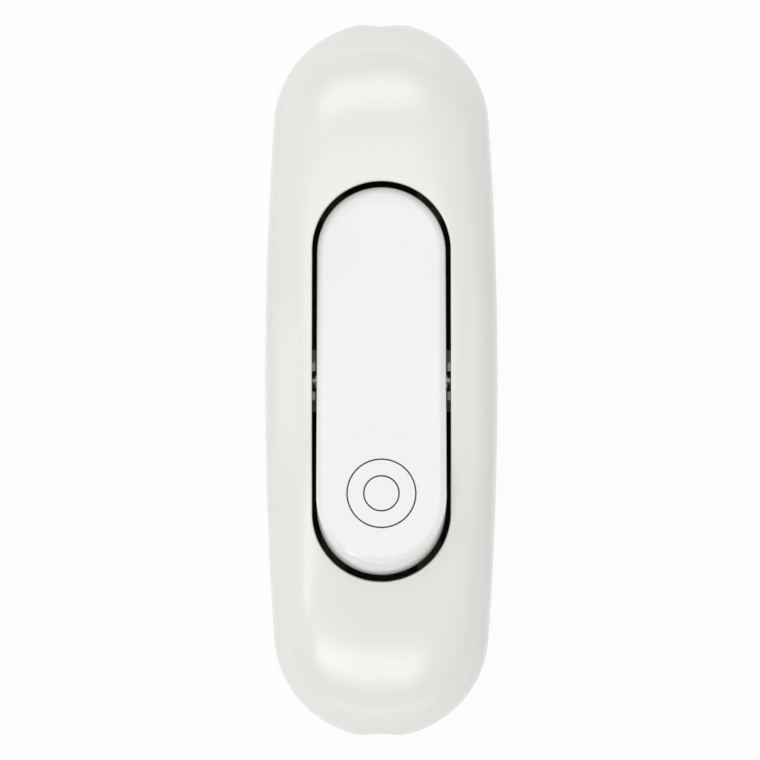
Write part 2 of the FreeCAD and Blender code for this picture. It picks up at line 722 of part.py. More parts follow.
def contact_bridge():
    plate = centred_box("bridge_plate", ("bridge_width", "bridge_length", "bridge_thickness"),
                        "0", "0", "bridge_drop")
    knuckle = rod("bridge_knuckle", "knuckle_diameter", "bridge_width",
                  ("-bridge_width / 2", "0", "0"), ALONG_X)
    bore = rod("knuckle_bore", "fulcrum_diameter + 2 * running_fit", "2 * bridge_width",
               ("-bridge_width", "0", "0"), ALONG_X)
    bridge = less("bridge_cut", joined("bridge_body", [plate, knuckle]), bore)
    rock(bridge, "fulcrum_height", "bridge_tilt")
    node("contact_bridge", bridge)
    contact = group("moving_disc", [rod("moving_disc_rod", "contact_diameter", "contact_height",
                                        ("0", "-contact_offset", "bridge_drop - contact_height"))])
    rock(contact, "fulcrum_height", "bridge_tilt")
    node("moving_contact", contact)
    pin_length = "(bridge_width + 2 * ear_play + 2 * strip_thickness)"
    node("fulcrum_pin", rod("bridge_pin", "fulcrum_diameter", pin_length,
                            (f"-{pin_length} / 2", "0", "fulcrum_height"), ALONG_X))


# Brass strips

def strip_sketch(body, name, corners):
    """Closed outline on the underside of the strips, each corner a pair of formulas."""
    sketch = body.newObject("Sketcher::SketchObject", name)
    sketch.AttachmentSupport = (origin_plane(body, "XY_Plane"), [""])
    sketch.MapMode = "FlatFace"
    bind(sketch, "AttachmentOffset.Base.z", "strip_level")
    count = len(corners)
    guess = [FreeCAD.Vector(math.cos(-math.tau * step / count), math.sin(-math.tau * step / count), 0)
             for step in range(count)]
    for step in range(count):
        sketch.addGeometry(Part.LineSegment(guess[step], guess[(step + 1) % count]))
    for step in range(count):
        sketch.addConstraint(Sketcher.Constraint("Coincident", step, 2, (step + 1) % count, 1))
    for step, (across, along) in enumerate(corners):
        for kind, formula, value in (("DistanceX", across, guess[step].x),
                                     ("DistanceY", along, guess[step].y)):
            number = sketch.addConstraint(Sketcher.Constraint(kind, -1, 1, step, 1, value))
            sketch.setExpression(f"Constraints[{number}]", qualified(formula))
    return sketch


def strip(name, corners):
    """Flat brass strip on the level of the strips."""
    body = doc.addObject("PartDesign::Body", f"{name}_body")
    pad = body.newObject("PartDesign::Pad", f"{name}_pad")
    pad.Profile = strip_sketch(body, f"{name}_plan", corners)
    bind(pad, "Length", "strip_thickness")
    return body


def terminal_strips():
    near = "strip_offset - strip_width / 2"
    far = "strip_offset + strip_width / 2"
    ear_out = "(bridge_width / 2 + ear_play + strip_thickness)"
    foot = strip("fulcrum_strip", [
        (f"-{ear_out}", "-fulcrum_width / 2"), (far, "-fulcrum_width / 2"), (far, "strip_end"),
        (near, "strip_end"), (near, "fulcrum_width / 2"), (f"-{ear_out}", "fulcrum_width / 2")])
    ears = [centred_box(f"ear_{side}",
                        ("strip_thickness", "fulcrum_width",
                         "fulcrum_lift + fulcrum_diameter + strip_thickness / 2"),
                        f"{way} * ({ear_out} - strip_thickness / 2)", "0", "strip_top - strip_thickness / 2")
            for side, way in SIDES]
    pin_hole = rod("ear_hole", "fulcrum_diameter + 2 * still_fit", f"4 * {ear_out}",
                   (f"-2 * {ear_out}", "0", "fulcrum_height"), ALONG_X)
    node("fulcrum_terminal", less("fulcrum_cut", joined("fulcrum_body", [foot] + ears), pin_hole))

    pad_half = "contact_diameter / 2 + strip_thickness / 2"
    back = f"-contact_offset - ({pad_half})"
    front = f"-contact_offset + {pad_half}"
    node("fixed_terminal", strip("fixed_strip", [
        (f"-({pad_half})", back), (near, back), (near, "-strip_end"), (far, "-strip_end"),
        (far, front), (f"-({pad_half})", front)]))
    node("fixed_contact", rod("fixed_disc", "contact_diameter", "contact_meeting - strip_top",
                              ("0", "-contact_offset", "strip_top")))
    node("neutral_bar", strip("neutral_strip", [
        (f"-({far})", "-strip_end"), (f"-({near})", "-strip_end"),
        (f"-({near})", "strip_end"), (f"-({far})", "strip_end")]))


# Screws

def screw(name, diameter, bite, head, head_height, place, upright=True):
    """Slotted screw whose head rests on the given point, pointing down, or up when not upright."""
    x, y, level = place
    shank_low = f"{level} - ({bite})" if upright else level
    head_low = level if upright else f"{level} - {head_height}"
    slot_low = f"{level} + {head_height} - slot_depth" if upright else f"{level} - {head_height}"
    shank = rod(f"{name}_shank", diameter, bite, (x, y, shank_low))
    top = rod(f"{name}_head", head, head_height, (x, y, head_low))
    slot = centred_box(f"{name}_slot", (f"2 * {head}", "screw_slot", "slot_depth"), x, y, slot_low)
    return less(name, joined(f"{name}_solid", [shank, top]), slot)


# Terminal blocks and cord clamps

def terminal_blocks():
    screws = []
    for side, wire, hand in (("left", "neutral", -1), ("right", "live", 1)):
        for end, way in ENDS:
            place_x = f"{hand} * strip_offset"
            place_y = f"{way} * block_place"
            name = f"terminal_block_{wire}_{end}"
            block = centred_box(f"block_{side}_{end}", ("block_width", "block_length", "block_height"),
                                place_x, place_y, "wall")
            window = centred_box(f"window_{side}_{end}",
                                 ("strip_width + 2 * window_play", "2 * block_length", "window_height"),
                                 place_x, place_y, "strip_level")
            hole = rod(f"block_hole_{side}_{end}", "terminal_screw + 2 * still_fit",
                       "block_height", (place_x, place_y, "strip_top"))
            node(name, less(f"{name}_cut", block, joined(f"{name}_tools", [window, hole])))
            screws.append(screw(f"terminal_screw_{side}_{end}", "terminal_screw", "terminal_bite",
                                "terminal_head", "terminal_head_height", (place_x, place_y, "block_top")))
    node("terminal_screws", group("terminal_screw_group", screws))


def cord_clamps():
    screws = []
    for end, way in ENDS:
        place_y = f"{way} * clamp_place"
        bar = centred_box(f"clamp_bar_{end}",
                          ("clamp_span + post_diameter", "clamp_width", "clamp_thickness"),
                          "0", place_y, "clamp_level")
        arch = rod(f"clamp_arch_{end}", "clamp_arch", "2 * clamp_width",
                   ("0", f"{place_y} - clamp_width", "base_height"), ALONG_Y)
        holes = []
        for side, hand in SIDES:
            place_x = f"{hand} * clamp_span / 2"
            holes.append(rod(f"clamp_way_{side}_{end}", "clamp_screw + 2 * casing_screw_play",
                             "3 * clamp_thickness", (place_x, place_y, "clamp_level - clamp_thickness")))
            screws.append(screw(f"clamp_screw_{side}_{end}", "clamp_screw", "clamp_thickness + clamp_bite",
                                "clamp_head", "clamp_head_height",
                                (place_x, place_y, "clamp_level + clamp_thickness")))
        node(f"cord_clamp_{end}", less(f"clamp_cut_{end}", bar, joined(f"clamp_tools_{end}", [arch] + holes)))
    node("clamp_screws", group("clamp_screw_group", screws))


def casing_fasteners():
    screws = []
    inserts = []
    seat = "casing_head_height + casing_head_sink"
    insert_low = "base_height + insert_inset"
    for end, way in ENDS:
        place_y = f"{way} * boss_place"
        screws.append(screw(f"casing_screw_{end}", "casing_screw", f"{insert_low} + insert_length - ({seat})",
                            "casing_head", "casing_head_height", ("0", place_y, seat), upright=False))
        sleeve = rod(f"insert_sleeve_{end}", "insert_diameter", "insert_length", ("0", place_y, insert_low))
        bore = rod(f"insert_bore_{end}", "casing_screw + 2 * still_fit", "3 * insert_length",
                   ("0", place_y, "base_height"))
        inserts.append(less(f"insert_{end}", sleeve, bore))
    node("casing_screws", group("casing_screw_group", screws))
    node("casing_inserts", group("casing_insert_group", inserts))


# Checking and writing

def faults():
    found = []
    for feature in doc.Objects:
        if "Invalid" in feature.State or "Error" in feature.State:
            found.append(f"{feature.Name} failed: {feature.State}")
    for feature in nodes:
        shape = feature.Shape
        if shape.isNull() or not shape.isValid() or not shape.Solids:
            found.append(f"{feature.Label} has no valid solid")
    return found


def write_nodes():
    os.makedirs("parts", exist_ok=True)
    for feature in nodes:
        feature.Shape.exportStep(os.path.join("parts", feature.Label + ".step"))
        print(f"{feature.Label:28s} solids {len(feature.Shape.Solids)}  volume {feature.Shape.Volume:9.2f}")


upper_casing()
lower_casing()
rocker_button()
pivot_pins()
plunger()
plunger_spring()
rocker_cradle()
contact_bridge()
terminal_strips()
terminal_blocks()
cord_clamps()
casing_fasteners()
doc.recompute()
problems = faults()
if problems:
    raise RuntimeError("; ".join(problems))
write_nodes()
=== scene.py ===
import json

import bpy
import numpy as np
from bpy.props import FloatProperty, FloatVectorProperty, PointerProperty
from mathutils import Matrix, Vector


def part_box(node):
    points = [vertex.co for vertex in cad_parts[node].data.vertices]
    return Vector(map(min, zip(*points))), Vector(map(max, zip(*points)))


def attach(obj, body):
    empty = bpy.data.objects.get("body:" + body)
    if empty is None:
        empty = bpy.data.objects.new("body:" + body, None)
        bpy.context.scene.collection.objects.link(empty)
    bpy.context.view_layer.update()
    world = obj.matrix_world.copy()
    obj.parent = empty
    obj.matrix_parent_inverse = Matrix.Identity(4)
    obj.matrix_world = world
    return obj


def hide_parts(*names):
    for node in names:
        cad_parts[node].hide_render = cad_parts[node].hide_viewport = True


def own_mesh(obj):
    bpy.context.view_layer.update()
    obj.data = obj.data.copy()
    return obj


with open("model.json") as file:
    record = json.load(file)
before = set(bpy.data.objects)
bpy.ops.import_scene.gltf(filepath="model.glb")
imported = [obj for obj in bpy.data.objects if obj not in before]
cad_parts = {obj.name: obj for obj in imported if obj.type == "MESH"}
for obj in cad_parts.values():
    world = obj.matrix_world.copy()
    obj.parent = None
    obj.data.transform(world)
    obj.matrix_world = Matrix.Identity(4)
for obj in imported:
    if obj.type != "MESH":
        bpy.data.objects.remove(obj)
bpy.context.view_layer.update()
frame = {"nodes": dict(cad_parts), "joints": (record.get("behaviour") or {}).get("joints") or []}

bl_info = {
    "name": "Inline rocker switch",
    "version": (1, 0, 0),
    "blender": (4, 5, 0),
    "location": "3D View > Sidebar > Switch",
    "description": "Builds the casings, the rocker, its spring and all finishes on the packed frame",
    "category": "Object",
}

TOP_LOW, TOP_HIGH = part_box("upper_casing")
JOINTS = {joint["name"]: joint for joint in frame["joints"]}

BRASS_NODES = ("fulcrum_terminal", "fixed_terminal", "neutral_bar", "terminal_block_neutral_front",
               "terminal_block_neutral_rear", "terminal_block_live_front",
               "terminal_block_live_rear", "contact_bridge", "casing_inserts")
STEEL_NODES = ("pivot_pin_left", "pivot_pin_right", "fulcrum_pin", "terminal_screws",
               "clamp_screws", "casing_screws")
SILVER_NODES = ("moving_contact", "fixed_contact")
INNER_NODES = ("rocker_cradle", "cord_clamp_front", "cord_clamp_rear", "plunger")

# Columns of the upper casing along each straight side and round each end, and the edge angle
# in degrees past which shading breaks.
SIDE_STEPS, END_STEPS = 110, 120
SHARP = 35.0


# Sizes and colours

def length(name, description, default):
    return FloatProperty(name=name, description=description, default=default, precision=5,
                         unit="LENGTH", subtype="DISTANCE")


def colour(name, description, default):
    return FloatVectorProperty(name=name, description=description, default=default, size=3,
                               min=0.0, max=1.0, subtype="COLOR")


class CasingSizes(bpy.types.PropertyGroup):
    length: length("Length", "Between the two flat cord faces", round(TOP_HIGH.y - TOP_LOW.y, 4))
    width: length("Width", "At the middle of the length", round(TOP_HIGH.x - TOP_LOW.x, 4))
    nose: length("Nose", "How far the round end would run on past the cord face", 0.0005)
    bow: length("Side bow", "Half width less the radius of the round ends", 0.00095)
    parting: length("Parting line", "Height of the lower casing", round(TOP_LOW.z, 4))
    rise: length("Rise", "Top of the dome above the parting line", round(TOP_HIGH.z - TOP_LOW.z, 4))
    middle_power: FloatProperty(name="Middle power", default=5.5,
                                description="Squareness of the arch across the middle")
    end_power: FloatProperty(name="End power", default=2.4,
                             description="Squareness of the arch at the ends")
    wall: length("Wall", "Thickness of both casings", 0.0018)
    base_rounding: length("Base rounding", "Radius round the base", 0.0032)
    parting_bevel: length("Parting bevel", "Broken edge along the parting line", 0.00012)
    opening_width: length("Opening width", "Opening for the rocker", 0.0167)
    opening_length: length("Opening length", "Opening for the rocker", 0.0484)
    rim_radius: length("Rim radius", "Radius round the rim of the opening", 0.0002)
    cord_hole: length("Cord hole", "Diameter of the cord entries", 0.006)
    collar: length("Collar", "Wall of the collar round each cord entry", 0.0017)
    collar_depth: length("Collar depth", "Collar from the cord face", 0.0045)
    side_end: length("Side end", "Where the columns of the mesh turn round the ends", 0.022)
    screw_place: length("Casing screws", "From the middle of the length", 0.029)
    head_hole: length("Head hole", "Diameter round the head of a casing screw", 0.0048)
    head_depth: length("Head depth", "Depth of the hole for the head", 0.0015)
    screw_hole: length("Screw hole", "Diameter round a casing screw", 0.0031)
    boss: length("Boss", "Diameter of the bosses round the casing screws", 0.0058)
    insert_hole: length("Insert hole", "Diameter round a threaded insert", 0.00424)
    insert_top: length("Insert top", "Height of the closed end of the insert hole", 0.0117)
    boss_top: length("Boss top", "Height of the upper bosses, inside the dome's wall", 0.0162)


class FittingSizes(bpy.types.PropertyGroup):
    peg: length("Peg", "Diameter of the pegs under the cradle", 0.002)
    peg_top: length("Peg top", "Height", 0.00295)
    peg_place: length("Peg place", "From the middle of the length", 0.0046)
    stop_across: length("Stop across", "Stops under the rocker's ends", 0.005)
    stop_along: length("Stop along", "Stops under the rocker's ends", 0.002)
    stop_top: length("Stop top", "Height", 0.00602)
    stop_place: length("Stop place", "From the middle of the length", 0.02164)
    keeper_across: length("Keeper across", "Ribs of the dome above the cradle", 0.0014)
    keeper_along: length("Keeper along", "Ribs of the dome above the cradle", 0.002)
    keeper_low: length("Keeper foot", "Height", 0.01665)
    keeper_high: length("Keeper top", "Height, inside the dome's wall", 0.0205)
    keeper_place: length("Keeper place", "From the middle of the width", 0.00907)
    pocket_across: length("Pocket across", "Inside of the rims round the terminals", 0.0057)
    pocket_along: length("Pocket along", "Inside of the rims round the terminals", 0.0059)
    pocket_top: length("Pocket top", "Height", 0.003)
    pocket_right: length("Pocket to the side", "From the middle of the width", 0.006)
    pocket_place: length("Pocket place", "From the middle of the length", 0.029)
    post: length("Post", "Diameter of the posts for the clamp screws", 0.0042)
    post_bore: length("Post bore", "Diameter", 0.00224)
    post_top: length("Post top", "Height", 0.0074)
    post_floor: length("Post floor", "Height of the lower end of the bore", 0.00296)
    post_right: length("Post to the side", "From the middle of the width", 0.0059)
    post_place: length("Post place", "From the middle of the length", 0.0348)


class RockerSizes(bpy.types.PropertyGroup):
    width: length("Width", "Across the rocker", 0.01554)
    reach: length("Reach", "Ends of the rocker from the line that it turns about", 0.02355)
    axis: length("Axis", "Height that the rocker turns at", JOINTS["rocker_tilt"]["pos_m"][2])
    tilt: FloatProperty(name="Tilt", description="Tilt at rest", default=np.radians(10),
                        unit="ROTATION", subtype="ANGLE")
    crown: length("Crown", "Top face above the axis", 0.0059)
    skirt: length("Skirt", "Lower edge below the axis", 0.0054)
    wall: length("Wall", "Side wall", 0.0015)
    roof: length("Roof", "Top wall", 0.0016)
    roll: length("Roll", "Radius that the top face rolls over with, before its edge", 0.0018)
    roll_turn: FloatProperty(name="Roll turn", description="Angle that the top face rolls over by",
                             default=np.radians(28), unit="ROTATION", subtype="ANGLE")
    rounding: length("Rounding", "Radius round the edge of the top face", 0.0003)
    ring_place: length("Ring place", "Ring mark from the axis", 0.0145)
    ring_large: length("Outer ring", "Diameter", 0.0082)
    ring_small: length("Inner ring", "Diameter", 0.0042)
    ring_line: length("Ring line", "Width of the painted grooves", 0.00018)
    ring_depth: length("Ring depth", "Depth of the painted grooves", 0.00015)
    hub: length("Hub", "Diameter of the hub under the roof", 0.0062)
    hub_foot: length("Hub foot", "Lower end of the hub, from the axis", -0.0022)
    hub_top: length("Hub top", "Upper end of the hub, inside the roof", 0.0046)
    hub_bore: length("Hub bore", "Diameter of the bore for the plunger", 0.0041)
    bore_top: length("Bore top", "Closed end of the bore, from the axis", 0.00295)
    pin_hole: length("Pin hole", "Diameter of the holes for the pivot pins", 0.00244)
    pin_boss: length("Pin boss", "Diameter of the bosses round them", 0.0052)
    pin_depth: length("Pin depth", "Length of those bosses from the rocker's side", 0.0025)


class SpringSizes(bpy.types.PropertyGroup):
    wire: length("Wire", "Diameter of the wire", 0.0004)
    radius: length("Radius", "Middle of the wire from the middle of the spring", 0.00145)
    foot: length("Foot", "Lower end of the wire's middle, from the rocker's axis", -0.00058)
    rise: length("Rise", "Wire's middle from its lower to its upper end", 0.00326)
    turns: FloatProperty(name="Turns", description="Turns of the spring", default=3.5)
    throw: length("Throw", "Travel of the plunger that presses the spring", 0.0008)


class Finishes(bpy.types.PropertyGroup):
    casing: colour("Casing", "Polished white plastic of both casings", (0.812, 0.818, 0.778))
    # Painted shade: the inside of both casings and the fittings are near black, so the gaps round the
    # rocker look dark.
    inside: colour("Inside", "Matt inside of the casings, dark in the gaps", (0.09, 0.09, 0.085))
    rocker: colour("Rocker", "Polished white plastic of the rocker", (0.842, 0.842, 0.823))
    inner: colour("Inner plastic", "Cradle, clamps and plunger", (0.74, 0.71, 0.62))
    rings: colour("Rings", "Paint in the two grooves", (0.045, 0.035, 0.033))
    brass: colour("Brass", "Strips, terminals and inserts", (0.24, 0.17, 0.085))
    steel: colour("Steel", "Pins, screws and spring", (0.42, 0.42, 0.43))
    silver: colour("Silver", "Contact faces", (0.80, 0.80, 0.78))


class StageSizes(bpy.types.PropertyGroup):
    camera_height: length("Camera height", "Lens above the floor", 0.420)
    camera_right: length("Camera right", "Lens to the right of the middle", -0.00017)
    camera_up: length("Camera up", "Lens along the casing from the middle", 0.0047)
    camera_tilt: FloatProperty(name="Camera tilt", description="Lean of the camera from straight down",
                               default=np.radians(-0.645), unit="ROTATION", subtype="ANGLE")
    lens: FloatProperty(name="Lens", description="Focal length in millimetres", default=157.6)
    floor: length("Floor", "Side of the floor", 6.0)
    world_light: FloatProperty(name="World light", description="Strength of the even light",
                               default=0.38, min=0.0)
    world_colour: colour("World colour", "Colour of the even light", (0.98, 0.985, 1.0))
    floor_glow: FloatProperty(name="Floor glow", description="Share of white that the camera sees",
                              default=0.94, min=0.0, max=1.0)
    floor_colour: colour("Floor colour", "Pale floor", (0.86, 0.86, 0.86))


# Meshes from grids

def merged(points, wrap_rows, wrap_columns):
    """Points without repeats, and the grid's quads between them as corner numbers."""
    rows, columns = points.shape[:2]
    keys = np.round(points.reshape(-1, 3) * 1e8).astype(np.int64)
    _, first, number = np.unique(keys, axis=0, return_index=True, return_inverse=True)
    number = number.reshape(rows, columns)
    if wrap_rows:
        number = np.vstack([number, number[:1]])
    if wrap_columns:
        number = np.hstack([number, number[:, :1]])
    quads = np.stack([number[:-1, :-1], number[:-1, 1:], number[1:, 1:], number[1:, :-1]], axis=-1)
    return points.reshape(-1, 3)[first], quads


def outward(points, quads):
    """The same quads with their faces pointing out: the volume that they close is above nothing."""
    a, b, c, d = (points[quads[..., i]] for i in range(4))
    volume = np.einsum("...i,...i", a, np.cross(b, c)) + np.einsum("...i,...i", a, np.cross(c, d))
    return quads if volume.sum() > 0 else quads[..., ::-1]


def piece_from(name, shells, materials):
    """Mesh object of one or more closed shells.

    Each shell is (grid of points, rows close, columns close, material of each row). Points that
    meet at a pole or a seam become one, and a quad that loses a corner there is a triangle.
    """
    all_points, all_corners, all_counts, all_materials = [], [], [], []
    base = 0
    for points, wrap_rows, wrap_columns, row_materials in shells:
        kept, quads = merged(points, wrap_rows, wrap_columns)
        quads = outward(kept, quads)
        painted = np.broadcast_to(np.asarray(row_materials, int).reshape(-1, 1), quads.shape[:2])
        quads, painted = quads.reshape(-1, 4), painted.reshape(-1)
        stays = quads != np.roll(quads, 1, axis=1)
        counts = stays.sum(axis=1)
        whole = counts >= 3
        all_points.append(kept)
        all_corners.append(quads[whole][stays[whole]] + base)
        all_counts.append(counts[whole])
        all_materials.append(painted[whole])
        base += len(kept)
    corners, counts = np.concatenate(all_corners), np.concatenate(all_counts)
    mesh = bpy.data.meshes.new(name)
    mesh.vertices.add(base)
    mesh.vertices.foreach_set("co", np.concatenate(all_points).astype(np.float32).ravel())
    mesh.loops.add(len(corners))
    mesh.loops.foreach_set("vertex_index", corners.astype(np.int32))
    mesh.polygons.add(len(counts))
    starts = np.concatenate([[0], np.cumsum(counts)[:-1]])
    mesh.polygons.foreach_set("loop_start", starts.astype(np.int32))
    mesh.polygons.foreach_set("material_index", np.concatenate(all_materials).astype(np.int32))
    mesh.update(calc_edges=True)
    if mesh.validate():
        raise RuntimeError(f"{name} has a face that Blender had to mend")
    piece = bpy.data.objects.new(name, mesh)
    bpy.context.scene.collection.objects.link(piece)
    for material in materials:
        mesh.materials.append(material)
    smooth(mesh)
    return piece


def smooth(mesh):
    """Smooth faces, with the sharper edges left crisp."""
    mesh.polygons.foreach_set("use_smooth", np.ones(len(mesh.polygons), bool))
    mesh.set_sharp_from_angle(angle=np.radians(SHARP))


def cut_out(piece, cutter):
    """Takes a cutter out of a piece for good, and removes the cutter."""
    modifier = piece.modifiers.new("holes", "BOOLEAN")
    modifier.operation = "DIFFERENCE"
    modifier.solver = "EXACT"
    modifier.object = cutter
    graph = bpy.context.evaluated_depsgraph_get()
    mesh = bpy.data.meshes.new_from_object(piece.evaluated_get(graph))
    piece.modifiers.clear()
    piece.data = mesh
    bpy.data.objects.remove(cutter)
    smooth(mesh)


def stacked(centre, plan, rows, turn=None):
    """Plan outline scaled and set at a height, row by row: centre + scale * plan, height.

    A scale of nothing makes a pole. With a turn of "x" or "y" the stack lies along that axis.
    """
    scale, height = np.asarray(rows, float).T
    flat = plan[None] * scale[:, None, None]
    up = np.broadcast_to(height[:, None, None], flat.shape[:2] + (1,))
    points = np.concatenate([flat, up], axis=-1)
    if turn == "x":
        points = points[..., [2, 0, 1]]
    if turn == "y":
        points = points[..., [1, 2, 0]]
    return points + np.asarray(centre, float)


def circle_plan(count):
    """Unit circle: cosine and sine of even steps of one turn."""
    angle = np.linspace(0, 2 * np.pi, count, endpoint=False)
    return np.stack([np.cos(angle), np.sin(angle)], axis=-1)


def block_plan(across, along, corner):
    """Round-cornered rectangle: a corner's centre plus its radius at each angle."""
    angle = (np.arange(48) + 0.5) * 2 * np.pi / 48
    cos, sin = np.cos(angle), np.sin(angle)
    return np.stack([np.sign(cos) * (across / 2 - corner) + corner * cos,
                     np.sign(sin) * (along / 2 - corner) + corner * sin], axis=-1)


# Shape of the casings

def outline_arcs(sizes):
    """Radius and centre of the round end and of the long side, and the angle where they meet."""
    half_width = sizes.width / 2
    end_radius = half_width - sizes.bow
    end_centre = sizes.length / 2 + sizes.nose - end_radius
    side_radius = (end_centre**2 + half_width**2 - end_radius**2) / (2 * sizes.bow)
    meeting = np.arcsin(end_centre / (side_radius - end_radius))
    return half_width, end_radius, end_centre, side_radius, meeting


def outline_half_width(sizes, inset, along):
    """Half width of the plan, moved in by an inset: on the side arc, then on the end arc."""
    half_width, end_radius, end_centre, side_radius, meeting = outline_arcs(sizes)
    along = np.abs(along)
    side = half_width - side_radius + np.sqrt((side_radius - inset)**2 - along**2)
    end = np.sqrt(np.maximum((end_radius - inset)**2 - (along - end_centre)**2, 0.0))
    return np.where(along < (side_radius - inset) * np.sin(meeting), side, end)


def outline_columns(sizes, inset):
    """Plan outline, moved in by an inset, at even steps of its normal's angle on each arc.

    The point is an arc's centre plus its radius less the inset, along the normal. The ends are
    cut off square at the cord faces.
    """
    half_width, end_radius, end_centre, side_radius, meeting = outline_arcs(sizes)
    side = np.linspace(0, meeting, 40, endpoint=False)
    end = np.linspace(meeting, np.pi / 2, 72)
    quarter = np.concatenate([side, end])
    on_side = np.arange(len(quarter)) < len(side)
    radius = np.where(on_side, side_radius, end_radius) - inset
    across = np.where(on_side, half_width - side_radius, 0.0) + radius * np.cos(quarter)
    along = np.where(on_side, 0.0, end_centre) + radius * np.sin(quarter)
    along = np.minimum(along, sizes.length / 2 - inset)
    half = np.stack([np.concatenate([across, -across[-2::-1]]),
                     np.concatenate([along, along[-2::-1]])], axis=-1)
    return np.concatenate([half, -half[1:-1]])


def dome_power(sizes, turn):
    """Exponent of the arch, which falls from the middle to the ends with the sine squared."""
    return sizes.middle_power + (sizes.end_power - sizes.middle_power) * np.sin(turn)**2


def dome(sizes, inset, turn, arch):
    """Point of the dome at two angles, moved in by an inset.

    The turn runs along the crest, an ellipse: reach * sin(turn), rise * cos(turn). The arch
    angle runs across it, on a superellipse: |x / half width|^p + |z / height|^p = 1.
    """
    reach = sizes.length / 2 + sizes.nose - inset
    along = reach * np.sin(turn)
    half_width = outline_half_width(sizes, inset, along)
    height = (sizes.rise - inset) * np.cos(turn)
    power = dome_power(sizes, turn)
    across, up = np.cos(arch), np.maximum(np.sin(arch), 0.0)
    spread = (np.abs(across)**power + up**power)**(-1 / power)
    return np.stack([half_width * across * spread, along,
                     sizes.parting + height * up * spread], axis=-1)


def dome_angles(sizes, inset, across, along):
    """Turn and arch angle of the dome's point above a point of the plan."""
    turn = np.arcsin(along / (sizes.length / 2 + sizes.nose - inset))
    power = dome_power(sizes, turn)
    share = across / outline_half_width(sizes, inset, along)
    return turn, np.arctan2((1 - np.abs(share)**power)**(1 / power), share)


def hole_turn(sizes, inset, radius, arch):
    """Turn where the dome meets a round hole along the cord's axis, by halving the range."""
    reach = sizes.length / 2 + sizes.nose - inset
    low = np.full_like(arch, np.arcsin(0.7))
    high = np.full_like(arch, np.arcsin((sizes.length / 2 - inset) / reach))
    for _ in range(48):
        middle = (low + high) / 2
        point = dome(sizes, inset, middle, arch)
        wide = np.hypot(point[..., 0], point[..., 2] - sizes.parting) > radius
        low, high = np.where(wide, middle, low), np.where(wide, high, middle)
    return low


def rim_columns(sizes, grow):
    """Round-ended outline of the opening, grown outward: two straight sides and two half turns."""
    half = sizes.opening_width / 2 + grow
    middle = (sizes.opening_length - sizes.opening_width) / 2
    straight = np.linspace(-1, 1, SIDE_STEPS, endpoint=False)
    fan = np.linspace(0, np.pi, END_STEPS, endpoint=False)
    across = np.concatenate([np.full_like(straight, half), half * np.cos(fan)])
    along = np.concatenate([middle * straight, middle + half * np.sin(fan)])
    return np.concatenate([across, -across]), np.concatenate([along, -along])


def edge_columns(sizes, inset, radius):
    """Turn and arch angle of the dome's lower edge, and whether it is over a cord hole there.

    Its columns are the rim's. Beside the straight sides of the rim it runs along the parting
    line. Round each half turn it goes on along that line for a third, over the cord hole for a
    third, and back.
    """
    reach = sizes.length / 2 + sizes.nose - inset
    straight = np.linspace(-1, 1, SIDE_STEPS, endpoint=False)
    fan = np.linspace(0, 3, END_STEPS, endpoint=False)
    side_end = np.arcsin(sizes.side_end / reach)
    arch = np.pi * np.clip(fan - 1, 0, 1)
    hole = hole_turn(sizes, inset, radius, arch)
    share = np.clip(np.minimum(fan, 3 - fan), 0, 1)
    turn = side_end + (hole - side_end) * share
    turns = np.concatenate([side_end * straight, turn])
    arches = np.concatenate([np.zeros_like(straight), arch])
    over_hole = np.tile(np.concatenate([np.zeros_like(straight), share]) > 0.999, 2)
    return np.concatenate([turns, -turns]), np.concatenate([arches, np.pi - arches]), over_hole


def skin(sizes, inset, grow, radius, shares):
    """Rows of the dome from the rim of the opening to its lower edge, even in both angles."""
    rim = np.stack(dome_angles(sizes, inset, *rim_columns(sizes, grow)))
    edge = np.stack(edge_columns(sizes, inset, radius)[:2])
    turn, arch = rim[:, None] + (edge - rim)[:, None] * shares[None, :, None]
    return dome(sizes, inset, turn, arch)


def casing_top_rows(sizes):
    """Closed surface of the upper casing: rim, outside, lower edge and cord holes, inside.

    The rim's rounding is a quarter circle below the dome. Over a cord hole the outside's edge is
    on the hole or on the flat cord face round it. From there the surface goes to the hole, runs
    straight in to the end of its collar, and the collar comes back to the inside. The finish of
    each row is 1 on the inside, which is painted near black as shade for the gaps round the rocker.
    """
    quarter = np.linspace(np.pi / 2, 0, 7)[:-1]
    rounding = []
    for angle in quarter:
        across, along = rim_columns(sizes, sizes.rim_radius * (1 - np.sin(angle)))
        point = dome(sizes, 0.0, *dome_angles(sizes, 0.0, across, along))
        point[:, 2] -= sizes.rim_radius * (1 - np.cos(angle))
        rounding.append(point)
    hole = sizes.cord_hole / 2
    outside = skin(sizes, 0.0, sizes.rim_radius, hole, np.linspace(0, 1, 84))
    inside = skin(sizes, sizes.wall, 0.0, hole + sizes.collar, np.linspace(1, 0, 26))
    edge, inner_edge = outside[-1], inside[0]
    over_hole = edge_columns(sizes, 0.0, hole)[2][:, None]
    angle = np.arctan2(edge[:, 2] - sizes.parting, edge[:, 0])
    depth = np.sign(edge[:, 1]) * (sizes.length / 2 - sizes.collar_depth)

    def ring(size, along, share):
        """Ring round the cord's axis over a hole, and a point of the parting face elsewhere."""
        round_hole = np.stack([size * np.cos(angle), along,
                               sizes.parting + size * np.sin(angle)], axis=-1)
        return np.where(over_hole, round_hole, edge + (inner_edge - edge) * share)

    lifted = np.where(over_hole, edge, edge + (outside[-2] - edge) * 0.35)
    mouth = ring(hole, edge[:, 1], sizes.parting_bevel / sizes.wall)
    outer = [np.stack(rounding), outside[:-1], lifted[None], mouth[None]]
    inner = [ring(hole, depth, 0.35)[None], ring(hole + sizes.collar, depth, 0.7)[None], inside]
    finish = [0] * sum(map(len, outer)) + [1] * (sum(map(len, inner)) - 1) + [0]
    return np.concatenate(outer + inner), finish


